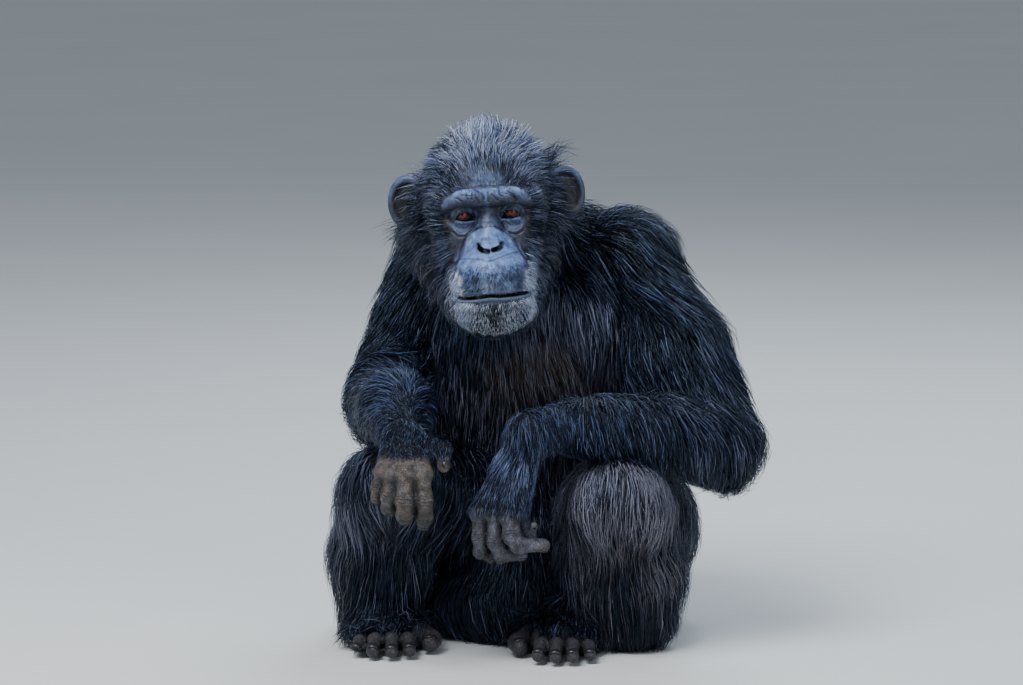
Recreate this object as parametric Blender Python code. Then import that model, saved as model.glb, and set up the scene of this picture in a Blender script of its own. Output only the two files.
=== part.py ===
"""A life-size seated chimpanzee as a still model, parted into named solids.

The solids reach out to the tips of the coat. The animal faces -Y, its left side is at +X, and it
sits on the floor at Z = 0 on its rump and the soles of its feet. Sizes below are in millimetres.
"""

import math

import bmesh
import bpy
from mathutils import Euler, Matrix, Vector

MM = 0.001
GAP = 0.5 * MM
FLOOR = Vector((0, 0, 0))
UP = Vector((0, 0, 1))
DOWN = Vector((0, 0, -1))

# The point between the two eyes, and how the head is pitched, rolled and turned
EYE_MIDDLE = (-69, -147, 528)
HEAD_TURN_DEGREES = (5, -3.5, 2)
EYE_RADIUS = 12.5
EYE_APART = 58

# Joints of the limbs, each with the radius of flesh and coat there
LEFT_ARM = [
    ((94, 72, 444), 68),
    ((151, 3, 350), 76),
    ((203, -67, 250), 58),
    ((130, -107, 268), 52),
    ((50, -140, 281), 41),
    ((-20, -168, 281), 30),
]
RIGHT_ARM = [
    ((-116, 183, 458), 68),
    ((-148, 116, 372), 66),
    ((-187, 48, 287), 57),
    ((-178, -62, 285), 54),
    ((-168, -165, 268), 37),
]
LEFT_LEG = [
    ((104, 122, 112), 88),
    ((92, -17, 150), 88),
    ((88, -140, 192), 52),
    ((78, -67, 118), 74),
    ((50, 8, 58), 48),
]
RIGHT_LEG = [
    ((-52, 153, 105), 76),
    ((-115, 33, 155), 84),
    ((-182, -87, 200), 54),
    ((-190, -32, 118), 74),
    ((-187, 43, 58), 48),
]
ELBOW, KNEE = 2, 2

# Each fused body, a little grown, by its name: what its neighbours are cut with
STENCILS = {}


def clear_scene():
    for thing in list(bpy.data.objects):
        bpy.data.objects.remove(thing)


def head_frame():
    turn = Euler([math.radians(a) for a in HEAD_TURN_DEGREES])
    return Matrix.Translation(Vector(EYE_MIDDLE) * MM) @ turn.to_matrix().to_4x4()


def material(name, colour, roughness):
    made = bpy.data.materials.get(name)
    if made is None:
        made = bpy.data.materials.new(name)
        made.use_nodes = True
        shader = made.node_tree.nodes["Principled BSDF"]
        shader.inputs["Base Color"].default_value = (*colour, 1)
        shader.inputs["Roughness"].default_value = roughness
        shader.inputs["Metallic"].default_value = 0
    return made


FINISHES = {
    "coat": ((0.018, 0.017, 0.020), 0.55),
    "face": ((0.070, 0.075, 0.095), 0.50),
    "hand": ((0.085, 0.080, 0.078), 0.60),
    "eye": ((0.160, 0.035, 0.010), 0.08),
}


def ball(centre, radii, turn=(0, 0, 0)):
    """A closed ellipsoid. Radii are along its own X, Y and Z, turned by the angles in degrees."""
    return ("ball", centre, radii if isinstance(radii, tuple) else (radii,) * 3, turn)


def taper(first, second, first_radius, second_radius):
    return ("taper", first, second, first_radius, second_radius)


def chain(joints):
    """Tapered lengths from joint to joint, with a ball at each joint."""
    shapes = [ball(place, radius) for place, radius in joints]
    for (a, radius_a), (b, radius_b) in zip(joints, joints[1:]):
        shapes.append(taper(a, b, radius_a, radius_b))
    return shapes


def add_ball(bm, centre, radii, turn):
    spin = Euler([math.radians(a) for a in turn]).to_matrix().to_4x4()
    size = Matrix.Diagonal((*[r * MM for r in radii], 1))
    place = Matrix.Translation(Vector(centre) * MM) @ spin @ size
    bmesh.ops.create_icosphere(bm, subdivisions=3, radius=1, matrix=place)


def add_taper(bm, first, second, first_radius, second_radius):
    a, b = Vector(first) * MM, Vector(second) * MM
    run = b - a
    aim = run.to_track_quat("Z", "Y").to_matrix().to_4x4()
    bmesh.ops.create_cone(
        bm,
        cap_ends=True,
        segments=24,
        radius1=first_radius * MM,
        radius2=second_radius * MM,
        depth=run.length,
        matrix=Matrix.Translation((a + b) / 2) @ aim,
    )


def new_object(name, bm, finish):
    mesh = bpy.data.meshes.new(name)
    bm.to_mesh(mesh)
    bm.free()
    thing = bpy.data.objects.new(name, mesh)
    bpy.context.scene.collection.objects.link(thing)
    mesh.materials.append(material(finish, *FINISHES[finish]))
    return thing


def settle(thing):
    """Replace the object's mesh with the one its modifiers make, and drop the modifiers."""
    graph = bpy.context.evaluated_depsgraph_get()
    mesh = bpy.data.meshes.new_from_object(thing.evaluated_get(graph))
    thing.modifiers.clear()
    thing.data = mesh
    return thing


def fuse(name, shapes, finish, voxel, triangles, smoothing=6, frame=None):
    """One smooth closed body from overlapping shapes, thinned to about this many triangles."""
    bm = bmesh.new()
    for kind, *sizes in shapes:
        (add_ball if kind == "ball" else add_taper)(bm, *sizes)
    if frame is not None:
        bm.transform(frame)
    body = new_object(name, bm, finish)
    remesh = body.modifiers.new("Remesh", "REMESH")
    remesh.mode = "VOXEL"
    remesh.voxel_size = voxel * MM
    smooth = body.modifiers.new("Smooth", "SMOOTH")
    smooth.factor = 0.5
    smooth.iterations = smoothing
    settle(body)
    body.data.calc_loop_triangles()
    thin = body.modifiers.new("Decimate", "DECIMATE")
    thin.ratio = min(1.0, triangles / len(body.data.loop_triangles))
    settle(body)
    keep_largest(body)
    keep_stencil(body)
    return body


def cut_flat(thing, point, outward):
    """Cut off what lies beyond a plane, and close the cut."""
    bm = bmesh.new()
    bm.from_mesh(thing.data)
    everything = [*bm.verts, *bm.edges, *bm.faces]
    bmesh.ops.bisect_plane(
        bm, geom=everything, plane_co=point, plane_no=outward, clear_outer=True, dist=1e-6
    )
    rim = [e for e in bm.edges if e.is_boundary]
    if rim:
        bmesh.ops.triangle_fill(bm, use_beauty=True, edges=rim, normal=outward)
    bmesh.ops.recalc_face_normals(bm, faces=bm.faces)
    bm.to_mesh(thing.data)
    bm.free()
    keep_largest(thing)


def keep_largest(thing):
    """Keep only the island with the most faces."""
    bm = bmesh.new()
    bm.from_mesh(thing.data)
    left = set(bm.verts)
    islands = []
    while left:
        island, edge_of_search = set(), [left.pop()]
        while edge_of_search:
            vert = edge_of_search.pop()
            island.add(vert)
            for edge in vert.link_edges:
                other = edge.other_vert(vert)
                if other in left:
                    left.discard(other)
                    edge_of_search.append(other)
        islands.append(island)
    islands.sort(key=len)
    for island in islands[:-1]:
        bmesh.ops.delete(bm, geom=list(island), context="VERTS")
    bm.to_mesh(thing.data)
    bm.free()


def part_at(thing, point, normal, far_name, far_finish=None):
    """Part the object in two by a thin cut. The side the normal points to becomes a new object."""
    normal = Vector(normal).normalized()
    far = thing.copy()
    far.data = thing.data.copy()
    far.name = far_name
    bpy.context.scene.collection.objects.link(far)
    if far_finish:
        far.data.materials.clear()
        far.data.materials.append(material(far_finish, *FINISHES[far_finish]))
    cut_flat(thing, point - normal * GAP / 2, normal)
    cut_flat(far, point + normal * GAP / 2, -normal)
    return far


def keep_stencil(thing):
    """A hidden copy that stands out by the gap, to cut the neighbours of this body with."""
    bm = bmesh.new()
    bm.from_mesh(thing.data)
    bm.normal_update()
    steps = [v.normal * min(v.calc_shell_factor(), 1.6) * GAP for v in bm.verts]
    for vert, step in zip(bm.verts, steps):
        vert.co += step
    mesh = bpy.data.meshes.new("stencil")
    bm.to_mesh(mesh)
    bm.free()
    stencil = bpy.data.objects.new("stencil_" + thing.name, mesh)
    bpy.context.scene.collection.objects.link(stencil)
    stencil.hide_render = True
    stencil.display_type = "WIRE"
    STENCILS[thing.name] = stencil


def extent(thing, axis):
    along = [v.co[axis] for v in thing.data.vertices]
    return min(along), max(along)


def boxes_meet(a, b):
    for axis in range(3):
        low_a, high_a = extent(a, axis)
        low_b, high_b = extent(b, axis)
        if low_a > high_b or low_b > high_a:
            return False
    return True


def make_room(thing, *keepers):
    """Cut the shapes that the named bodies had when they were fused out of this one."""
    for keeper in keepers:
        stencil = STENCILS[keeper]
        if not boxes_meet(thing, stencil):
            continue
        cut = thing.modifiers.new("Room", "BOOLEAN")
        cut.operation = "DIFFERENCE"
        cut.solver = "EXACT"
        cut.object = stencil
        settle(thing)
        keep_largest(thing)
        if len(thing.data.polygons) < 20:
            raise RuntimeError(thing.name + " is used up by the room made for " + keeper)


def travel(joints, index):
    """The direction of a limb at a joint: the mean of the runs before and after it."""
    before = (Vector(joints[index][0]) - Vector(joints[index - 1][0])).normalized()
    after = (Vector(joints[index + 1][0]) - Vector(joints[index][0])).normalized()
    return (before + after).normalized()


def make_eyes(frame):
    eyes = []
    for side, name in ((1, "eye_left"), (-1, "eye_right")):
        bm = bmesh.new()
        place = Matrix.Translation(Vector((side * EYE_APART / 2, EYE_RADIUS, 0)) * MM)
        bmesh.ops.create_uvsphere(
            bm, u_segments=12, v_segments=8, radius=EYE_RADIUS * MM, matrix=frame @ place
        )
        eyes.append(new_object(name, bm, "eye"))
        keep_stencil(eyes[-1])
    return eyes


def both_sides(centre, radii, turn=(0, 0, 0)):
    """A ball and its mirror image across the head's middle plane."""
    x, y, z = centre
    return [ball(centre, radii, turn), ball((-x, y, z), radii, (turn[0], -turn[1], -turn[2]))]


def head_shapes():
    """In the head's own frame: X to its left, Y to the back, Z up, from between the eyes."""
    shapes = [
        # Skull with its coat, and the crest of longer hair on the crown
        ball((5, 96, 16), (82, 90, 76)),
        ball((6, 74, 64), (52, 56, 36)),
        ball((2, 40, 36), (52, 36, 34)),
        # Nose, upper lip, lower lip and chin
        taper((0, 18, -2), (0, -8, -40), 14, 22),
        ball((0, -15, -40), (20, 17, 13)),
        ball((1, -4, -66), (46, 58, 34)),
        ball((1, -12, -80), (44, 56, 20)),
        ball((1, -12, -92), (42, 54, 18)),
        ball((1, -8, -108), (43, 52, 29)),
        # Throat between the jaws
        ball((0, 60, -78), (60, 62, 46)),
        ball((0, 98, -34), (62, 62, 50)),
    ]
    # The long hair of temples, cheeks and jaw makes one smooth side from the ear to the chin
    side = [((42, 76, 14), 44), ((48, 62, -52), 46), ((28, 34, -100), 34)]
    shapes += chain(side) + chain([((-x, y, z), r) for (x, y, z), r in side])
    shapes += both_sides((36, 26, -34), (28, 28, 36))
    shapes += both_sides((27, 26, -27), (24, 24, 18))
    shapes += both_sides((44, 28, -12), (22, 22, 16))
    # The brow ridge is one bar that bends back round the temples
    brow = [((0, 3, 20), 12), ((26, 2, 22), 13), ((44, 11, 17), 12), ((57, 30, 4), 10)]
    shapes += chain(brow) + chain([((-x, y, z), r) for (x, y, z), r in brow])
    return shapes


def make_head(frame):
    head = fuse("head", head_shapes(), "face", 3, 900, smoothing=5, frame=frame)
    # The mouth line and the hinge of the jaw lie in one plane
    mouth = frame @ (Vector((0, -66, -87)) * MM)
    lips = (frame.to_3x3() @ Vector((0, -0.2, -0.98))).normalized()
    jaw = part_at(head, mouth, lips, "lower_jaw")
    make_room(head, "eye_left", "eye_right")
    return head, jaw


def make_ear(name, side, frame):
    """A wide thin shell with a thicker rim, set on the side of the head and turned forward."""
    middle = Vector((side * 92, 90, 3))
    across = Vector((side * 0.94, 0.30, 0.08)).normalized()
    upward = Vector((side * 0.10, 0.06, 0.99)).normalized()
    shapes = []
    for angle in range(0, 360, 30):
        turn = math.radians(angle)
        point = middle + across * 20 * math.cos(turn) + upward * 27 * math.sin(turn)
        shapes.append(ball(tuple(point), 6))
    for (_, a, *_), (_, b, *_) in zip(shapes[:], shapes[1:12] + shapes[:1]):
        shapes.append(taper(a, b, 5.5, 5.5))
    tilt = [math.degrees(angle) for angle in Matrix((across, upward.cross(across), upward)).transposed().to_euler()]
    shapes.append(ball(tuple(middle), (22, 6, 28), tuple(tilt)))
    ear = fuse(name, shapes, "face", 2.5, 150, smoothing=2, frame=frame)
    make_room(ear, "head")
    return ear


def make_digits(names, chains, finish, keepers, triangles, floor=False):
    """Fingers or toes, each one chain of joints. Each yields to the palm and to those before it."""
    digits = []
    for name, joints in zip(names, chains):
        digit = fuse(name, chain(joints), finish, 2, triangles, smoothing=2)
        if floor:
            cut_flat(digit, FLOOR, DOWN)
        make_room(digit, *keepers, *[other.name for other in digits])
        digits.append(digit)
    return digits


FINGERS = ("thumb", "index_finger", "middle_finger", "ring_finger", "little_finger")
TOES = ("big_toe", "second_toe", "third_toe", "fourth_toe", "fifth_toe")

# Palms, from the wrist to the knuckles
LEFT_PALM = [((-26, -170, 272), 30), ((-44, -178, 232), 32), ((-60, -182, 192), 30)]
RIGHT_PALM = [((-168, -200, 266), 34), ((-170, -232, 250), 29)]
LEFT_KNUCKLES = [taper((-80, -174, 182), (-34, -194, 186), 17, 17)]
RIGHT_KNUCKLES = [taper((-186, -238, 240), (-146, -242, 242), 18, 18)]

LEFT_FINGERS = [
    [((-52, -148, 226), 13), ((-60, -140, 196), 11), ((-64, -142, 172), 9)],
    [((-79, -176, 180), 11), ((-79, -184, 152), 10), ((-78, -186, 136), 9.5), ((-66, -172, 128), 8)],
    [((-61, -184, 180), 11.5), ((-61, -192, 148), 10.5), ((-54, -192, 132), 10), ((-30, -186, 133), 8.5)],
    [((-43, -196, 180), 13), ((-41, -204, 158), 12.5), ((-33, -206, 147), 11.5), ((-4, -204, 147), 8.8)],
    [((-34, -178, 182), 12), ((-26, -182, 160), 9.5), ((-19, -188, 153), 7.5), ((-15, -192, 168), 5)],
]
RIGHT_FINGERS = [
    [((-137, -200, 260), 13), ((-122, -216, 262), 10.5), ((-120, -224, 244), 8.5)],
    [((-146, -246, 238), 13), ((-143, -250, 208), 12), ((-142, -240, 186), 11), ((-144, -218, 176), 9)],
    [((-165, -249, 238), 13.5), ((-165, -255, 208), 13), ((-165, -244, 190), 12), ((-165, -220, 182), 9)],
    [((-180, -244, 238), 12), ((-184, -248, 212), 10.5), ((-184, -238, 197), 10), ((-184, -217, 192), 8)],
    [((-190, -236, 238), 10), ((-197, -238, 221), 8.8), ((-197, -230, 208), 8.5), ((-196, -213, 205), 7)],
]

# Feet, from the heel to the ball; the soles lie on the floor
LEFT_FOOT = [((52, 42, 34), 34), ((44, -20, 34), 34), ((30, -80, 27), 30), ((20, -124, 22), 24)]
RIGHT_FOOT = [((-190, 78, 34), 34), ((-190, 20, 34), 34), ((-190, -50, 27), 31), ((-188, -94, 22), 26)]
LEFT_BALL = [taper((-2, -118, 18), (46, -124, 17), 19, 18)]
RIGHT_BALL = [taper((-162, -88, 18), (-216, -86, 17), 19, 18)]

LEFT_TOES = [
    [((4, -70, 20), 18), ((-22, -92, 17), 16), ((-34, -120, 15), 14), ((-32, -138, 13), 12)],
    [((0, -128, 16), 12), ((-6, -158, 20), 11), ((-10, -182, 13), 10)],
    [((14, -132, 16), 12), ((12, -164, 21), 11), ((10, -190, 13), 10)],
    [((30, -132, 16), 12), ((30, -162, 20), 11), ((30, -188, 12), 10)],
    [((45, -126, 15), 11), ((49, -152, 17), 10), ((51, -174, 11), 9)],
]
RIGHT_TOES = [
    [((-170, -44, 20), 18), ((-148, -70, 17), 16), ((-136, -98, 15), 14), ((-138, -116, 13), 12)],
    [((-168, -98, 16), 12), ((-164, -126, 20), 11), ((-162, -150, 13), 10)],
    [((-184, -102, 16), 12), ((-183, -132, 21), 11), ((-183, -158, 13), 10)],
    [((-200, -100, 16), 12), ((-203, -130, 20), 11), ((-205, -154, 12), 10)],
    [((-215, -94, 15), 11), ((-221, -120, 17), 10), ((-225, -142, 11), 9)],
]

# Longer hair beyond the limbs: it hangs from the elbows, and down the fronts of the shanks
LEFT_ELBOW_TUFT = [taper((214, -60, 240), (240, -54, 190), 44, 12), ball((241, -54, 188), 12)]
RIGHT_ELBOW_TUFT = [taper((-196, 52, 305), (-226, 58, 326), 40, 14), ball((-226, 58, 326), 14)]
LEFT_SHANK_HAIR = [ball((94, -78, 96), (82, 66, 84)), ball((104, -84, 44), (66, 58, 52))]
RIGHT_SHANK_HAIR = [
    ball((-200, -62, 186), (58, 58, 66)),
    ball((-198, -34, 104), (66, 66, 84)),
    ball((-200, -48, 44), (54, 62, 52)),
]

TRUNK = [
    ball((25, 146, 98), (136, 124, 106)),
    ball((-24, 36, 48), (106, 96, 76)),
    ball((11, 125, 228), (146, 134, 146)),
    ball((-2, 117, 345), (146, 128, 150), (0, 0, -18)),
    ball((12, 132, 442), (156, 96, 76), (0, 0, -18)),
    ball((44, 42, 372), (82, 62, 78)),
    ball((-66, 68, 378), (82, 62, 78)),
    ball((90, 88, 452), (72, 72, 60)),
    ball((-102, 172, 462), (72, 72, 62)),
]
WAIST = Vector((0, 0, 0.288))
NECK = [taper((-16, 108, 462), (-52, 28, 508), 88, 78), ball((-52, 28, 508), 78), ball((-16, 108, 462), 88)]


def make_arm(side, joints, palm, extra):
    """Upper arm, forearm and hand, made whole and parted at the elbow and the wrist."""
    whole = fuse(
        "upper_arm_" + side, chain(joints) + chain([joints[-1], *palm]) + extra, "coat", 4, 400
    )
    elbow = Vector(joints[ELBOW][0]) * MM
    forearm = part_at(whole, elbow, travel(joints, ELBOW), "forearm_" + side)
    path = [*joints, *palm]
    wrist = len(joints) - 1
    hand = part_at(
        forearm, Vector(joints[wrist][0]) * MM, travel(path, wrist), "hand_" + side, "hand"
    )
    return whole, forearm, hand


def make_leg(side, joints, hair, foot, chains):
    """Thigh, shank, foot and toes. The thigh yields to the shank it is folded against."""
    sole = fuse("foot_" + side, foot, "hand", 3, 170, smoothing=3)
    shank = fuse("shank_" + side, chain(joints[KNEE:]) + hair, "coat", 4, 280)
    thigh = fuse("thigh_" + side, chain(joints[: KNEE + 1]), "coat", 5, 76)
    for thing in (sole, shank, thigh):
        cut_flat(thing, FLOOR, DOWN)
    names = [name + "_" + side for name in TOES]
    make_digits(names, chains, "hand", [sole.name], 46, floor=True)
    make_room(shank, sole.name, *names)
    make_room(thigh, sole.name, shank.name)
    return shank, thigh, [sole.name, *names]


def main():
    clear_scene()
    frame = head_frame()
    make_eyes(frame)
    make_head(frame)
    make_ear("ear_left", 1, frame)
    make_ear("ear_right", -1, frame)
    skull = ("head", "ear_left", "ear_right")

    arms = ("upper_arm_left", "upper_arm_right")
    fingers = []
    for side, joints, palm, extra, chains in (
        ("left", LEFT_ARM, LEFT_PALM, LEFT_KNUCKLES + LEFT_ELBOW_TUFT, LEFT_FINGERS),
        ("right", RIGHT_ARM, RIGHT_PALM, RIGHT_KNUCKLES + RIGHT_ELBOW_TUFT, RIGHT_FINGERS),
    ):
        arm = make_arm(side, joints, palm, extra)
        for thing in arm:
            make_room(thing, *skull)
        names = [name + "_" + side for name in FINGERS]
        make_digits(names, chains, "hand", ["upper_arm_" + side], 60)
        fingers += names

    legs = []
    for side, joints, hair, foot, chains in (
        ("left", LEFT_LEG, LEFT_SHANK_HAIR, chain(LEFT_FOOT) + LEFT_BALL, LEFT_TOES),
        ("right", RIGHT_LEG, RIGHT_SHANK_HAIR, chain(RIGHT_FOOT) + RIGHT_BALL, RIGHT_TOES),
    ):
        shank, thigh, sole = make_leg(side, joints, hair, foot, chains)
        for thing in (shank, thigh):
            make_room(thing, *arms, *fingers, *legs)
        legs += [shank.name, thigh.name, *sole]

    chest = fuse("chest", TRUNK, "coat", 6, 390)
    cut_flat(chest, FLOOR, DOWN)
    make_room(chest, *skull, *arms, *legs)
    part_at(chest, WAIST, DOWN, "abdomen")
    neck = fuse("neck", NECK, "coat", 5, 76)
    make_room(neck, *skull, "chest", *arms)
    for stencil in STENCILS.values():
        bpy.data.objects.remove(stencil)


main()
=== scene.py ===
"""A life-size seated chimpanzee: one skin, its eyes and nails, and a coat of solid tufts.

Sizes in the tables are in millimetres. The animal faces -Y and its left side is at +X.
"""

import math

import bpy
import numpy as np
from mathutils import Euler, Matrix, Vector, kdtree


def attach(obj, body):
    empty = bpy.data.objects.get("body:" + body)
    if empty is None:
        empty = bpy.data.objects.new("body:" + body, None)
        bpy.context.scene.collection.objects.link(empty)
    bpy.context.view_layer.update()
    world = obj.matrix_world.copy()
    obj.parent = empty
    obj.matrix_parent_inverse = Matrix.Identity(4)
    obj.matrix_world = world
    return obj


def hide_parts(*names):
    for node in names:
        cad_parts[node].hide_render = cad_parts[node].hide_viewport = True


bl_info = {
    "name": "Seated Chimpanzee",
    "version": (1, 0, 0),
    "blender": (4, 5, 0),
    "location": "3D View > Sidebar > Chimpanzee",
    "description": "Builds a life-size seated chimpanzee with skin, eyes, nails and coat",
    "category": "Object",
}

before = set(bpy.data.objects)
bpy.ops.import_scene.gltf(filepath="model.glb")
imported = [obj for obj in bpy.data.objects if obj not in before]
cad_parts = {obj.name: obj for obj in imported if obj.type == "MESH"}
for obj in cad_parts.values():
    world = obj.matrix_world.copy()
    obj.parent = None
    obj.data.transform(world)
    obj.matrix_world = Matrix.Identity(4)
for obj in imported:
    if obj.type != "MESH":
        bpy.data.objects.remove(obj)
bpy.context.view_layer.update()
MM = 0.001
FAR = 1000.0

# Head frame: the point between the eyes, then pitch, roll and turn in degrees
EYE_MIDDLE = np.array((-69.0, -147.0, 528.0))
HEAD_TURN = Euler([math.radians(a) for a in (5, -3.5, 2)])
HEAD_AXES = np.array(HEAD_TURN.to_matrix())
EYE_SIDE, EYE_DEPTH, EYE_RADIUS = 29.0, 13.0, 13.0
# The lids open round a point nearer the nose than the eyeball's middle
LID_SHIFT = 2.3
# Each lid's edge is part of a circle: how far its middle is up or down, and its radius
UPPER_LID, LOWER_LID = (6.7, 11.5), (48, 53.8)
# The point that both eyes look at
GAZE_POINT = np.array((-41.4, -6914, 1329))

# Lines on the face, seen from the front: depth, half width, then (across, up) points
FACE_LINES = [
    (0.7, 1.0, [(-40, 29), (-28.3, 33), (-7.2, 34), (14.9, 32.7)]),
    (0.7, 0.9, [(14, 34.4), (26.7, 34.7), (36, 33.2), (46, 27)]),
    (1.5, 0.9, [(-16.6, 26.6), (-17.7, 19.6)]), (1.3, 0.9, [(-36, 22.5), (-29.5, 17.6)]),
    (1.5, 1.0, [(-9.9, 28.3), (-4.4, 24.4), (-3.5, 18.6)]), (1.5, 1.0, [(1.6, 26.7), (1.5, 15.4)]),
    (1.7, 1.0, [(13.9, 31.3), (14.5, 24), (17.5, 20.8)]), (1.4, 1.0, [(6.1, 23.8), (12.6, 16.7)]),
    (1.6, 1.0, [(24.3, 26.4), (31.4, 22.1), (34.7, 14.8)]), (1.4, 0.9, [(-12.7, 22), (-8.7, 13.8)]),
    (1.1, 0.8, [(-24, 26), (-22, 20)]), (1.1, 0.8, [(41, 24), (44, 18)]), (0.9, 0.8, [(9, 29), (10, 25)]),
    (0.9, 0.8, [(-30, 25), (-20, 23.6), (-12, 24.6)]), (0.9, 0.8, [(18, 25), (27, 22), (33, 19)]),
    (0.6, 0.8, [(-34, 35.5), (-12, 37.6), (10, 38), (34, 36.6)]),
    (0.5, 0.7, [(-20, 40.4), (0, 41.2), (22, 40.6)]),
    (1.5, 1.2, [(-14.1, -6.9), (-20, -15.8), (-27.5, -22.4), (-35.6, -22.7), (-42, -17)]),
    (1.5, 1.2, [(15, -8.4), (18.4, -15.8), (25, -22.7), (33, -24.5), (41, -19)]),
    (0.6, 0.7, [(-18, -10), (-24, -16.5), (-31, -18.5), (-38, -15)]),
    (0.6, 0.7, [(19, -11), (24, -17), (31, -19), (38, -15)]),
    (0.6, 0.6, [(-19.5, -8.6), (-26, -12.6), (-33, -13), (-38, -9.6)]),
    (0.6, 0.6, [(20, -9), (26, -13), (32, -13.4), (38, -10)]),
    (1.3, 1.3, [(-9, -12.7), (-14.9, -15.7), (-21.2, -19.4), (-27.5, -25.3), (-31.5, -34.3), (-35.9, -45.1),
                (-42, -56.4)]),
    (1.5, 1.3, [(8, -13.6), (16.9, -19.5), (25.2, -26.3), (30.6, -34.1), (34.1, -41.9), (40.7, -54.1),
                (46.6, -64.5)]),
    (0.5, 0.8, [(-12.9, -13.7), (-1.3, -13.6), (9.2, -14)]),
    (0.5, 0.8, [(-8.6, -2.2), (-2.8, -3.8), (4.2, -2.9)]),
    (0.5, 0.8, [(-10, -7), (0, -8.5), (9, -7.4)]),
    (0.5, 0.6, [(-0.6, -20.4), (-0.8, -30)]), (0.6, 0.6, [(-9.2, -26.4), (-10, -33)]),
    (0.5, 0.6, [(10.1, -26), (10.9, -32)]),
    (0.7, 0.9, [(-36.2, -49), (-24.7, -49.5), (-13.1, -50.9), (-2.9, -54), (6.6, -51.7), (16.2, -48.3),
                (25.7, -45.8), (33, -45)]),
    (0.4, 0.7, [(-39, -58), (-33, -62), (-31, -68)]), (0.4, 0.7, [(43, -62), (38, -66), (36, -72)]),
]
MOUTH_LINE = [(-43, -92.4), (-36, -94.8), (-28, -95.6), (-20, -95.4), (-6, -94.4), (9, -95.3), (26, -94.3),
              (36, -92.9), (42, -91.2), (47, -88.4)]
NOSTRILS = [
    [(-13.6, -33.6), (-12.6, -38), (-9.4, -41), (-3.2, -42.4)],
    [(13.5, -33.8), (12.4, -37.8), (8.4, -39.9), (3, -41.2)],
]


# Shapes of the flesh. A chain is a list of joints, each a place and a radius.

LEFT_ARM = [
    ((94, 72, 444), 46), ((151, 3, 350), 52), ((203, -67, 250), 38),
    ((130, -107, 268), 35), ((50, -140, 281), 29), ((-22, -168, 276), 21),
]
RIGHT_ARM = [
    ((-116, 183, 458), 46), ((-148, 116, 372), 46), ((-187, 48, 287), 39),
    ((-178, -62, 285), 38), ((-168, -165, 268), 24),
]
LEFT_LEG = [
    ((104, 122, 112), 66), ((92, -17, 150), 66), ((88, -140, 192), 42),
    ((78, -67, 118), 46), ((50, 8, 58), 30),
]
RIGHT_LEG = [
    ((-52, 153, 105), 58), ((-115, 33, 155), 64), ((-182, -87, 200), 43),
    ((-190, -32, 118), 46), ((-187, 43, 58), 30),
]
LEFT_FINGERS = [
    [((-52, -148, 226), 13), ((-60, -140, 196), 11), ((-64, -142, 172), 9)],
    [((-79, -176, 180), 11), ((-79, -184, 152), 10), ((-78, -186, 136), 9.5), ((-66, -172, 128), 8)],
    [((-61, -184, 180), 11.5), ((-61, -192, 148), 10.5), ((-54, -192, 132), 10), ((-30, -186, 133), 8.5)],
    [((-43, -196, 180), 13), ((-41, -204, 158), 12.5), ((-33, -206, 147), 11.5), ((-4, -204, 147), 8.8)],
    [((-34, -178, 182), 12), ((-26, -182, 160), 9.5), ((-19, -188, 153), 7.5), ((-15, -192, 168), 5)],
]
RIGHT_FINGERS = [
    [((-137, -200, 260), 13), ((-122, -216, 262), 10.5), ((-120, -224, 244), 8.5)],
    [((-146, -246, 238), 13), ((-143, -250, 208), 12), ((-142, -240, 186), 11), ((-144, -218, 176), 9)],
    [((-165, -249, 238), 13.5), ((-165, -255, 208), 13), ((-165, -244, 190), 12), ((-165, -220, 182), 9)],
    [((-180, -244, 238), 12), ((-184, -248, 212), 10.5), ((-184, -238, 197), 10), ((-184, -217, 192), 8)],
    [((-190, -236, 238), 10), ((-197, -238, 221), 8.8), ((-197, -230, 208), 8.5), ((-196, -213, 205), 7)],
]
LEFT_WRIST, RIGHT_WRIST = (-26, -168, 262), (-168, -182, 266)
LEFT_FOOT = [((52, 42, 34), 30), ((44, -20, 34), 30), ((30, -80, 27), 26), ((20, -124, 22), 21)]
RIGHT_FOOT = [((-190, 78, 34), 30), ((-190, 20, 34), 30), ((-190, -50, 27), 27), ((-188, -94, 22), 22)]
LEFT_TOES = [
    [((4, -70, 20), 17), ((-22, -92, 17), 15), ((-34, -120, 15), 13), ((-32, -138, 13), 11)],
    [((0, -128, 16), 11), ((-6, -158, 20), 10), ((-10, -182, 12), 9)],
    [((14, -132, 16), 11), ((12, -164, 21), 10), ((10, -190, 12), 9)],
    [((30, -132, 16), 11), ((30, -162, 20), 10), ((30, -188, 12), 9)],
    [((45, -126, 15), 10), ((49, -152, 17), 9), ((51, -174, 11), 8)],
]
RIGHT_TOES = [
    [((-170, -44, 20), 17), ((-148, -70, 17), 15), ((-136, -98, 15), 13), ((-138, -116, 13), 11)],
    [((-168, -98, 16), 11), ((-164, -126, 20), 10), ((-162, -150, 12), 9)],
    [((-184, -102, 16), 11), ((-183, -132, 21), 10), ((-183, -158, 12), 9)],
    [((-200, -100, 16), 11), ((-203, -130, 20), 10), ((-205, -154, 12), 9)],
    [((-215, -94, 15), 10), ((-221, -120, 17), 9), ((-225, -142, 11), 8)],
]


def chain(joints, slim=1.0, waist=0.0):
    """Cones from joint to joint, with slimmer ends or a waist if asked."""
    return [("cone", a, b, ra * slim, rb * slim, waist) for (a, ra), (b, rb) in zip(joints, joints[1:])]


def metacarpals(wrist, fingers, radius):
    """Cones from the wrist to the first knuckle of each finger."""
    return [("cone", wrist, finger[0][0], radius, finger[0][1] + 1.5) for finger in fingers]


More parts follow.
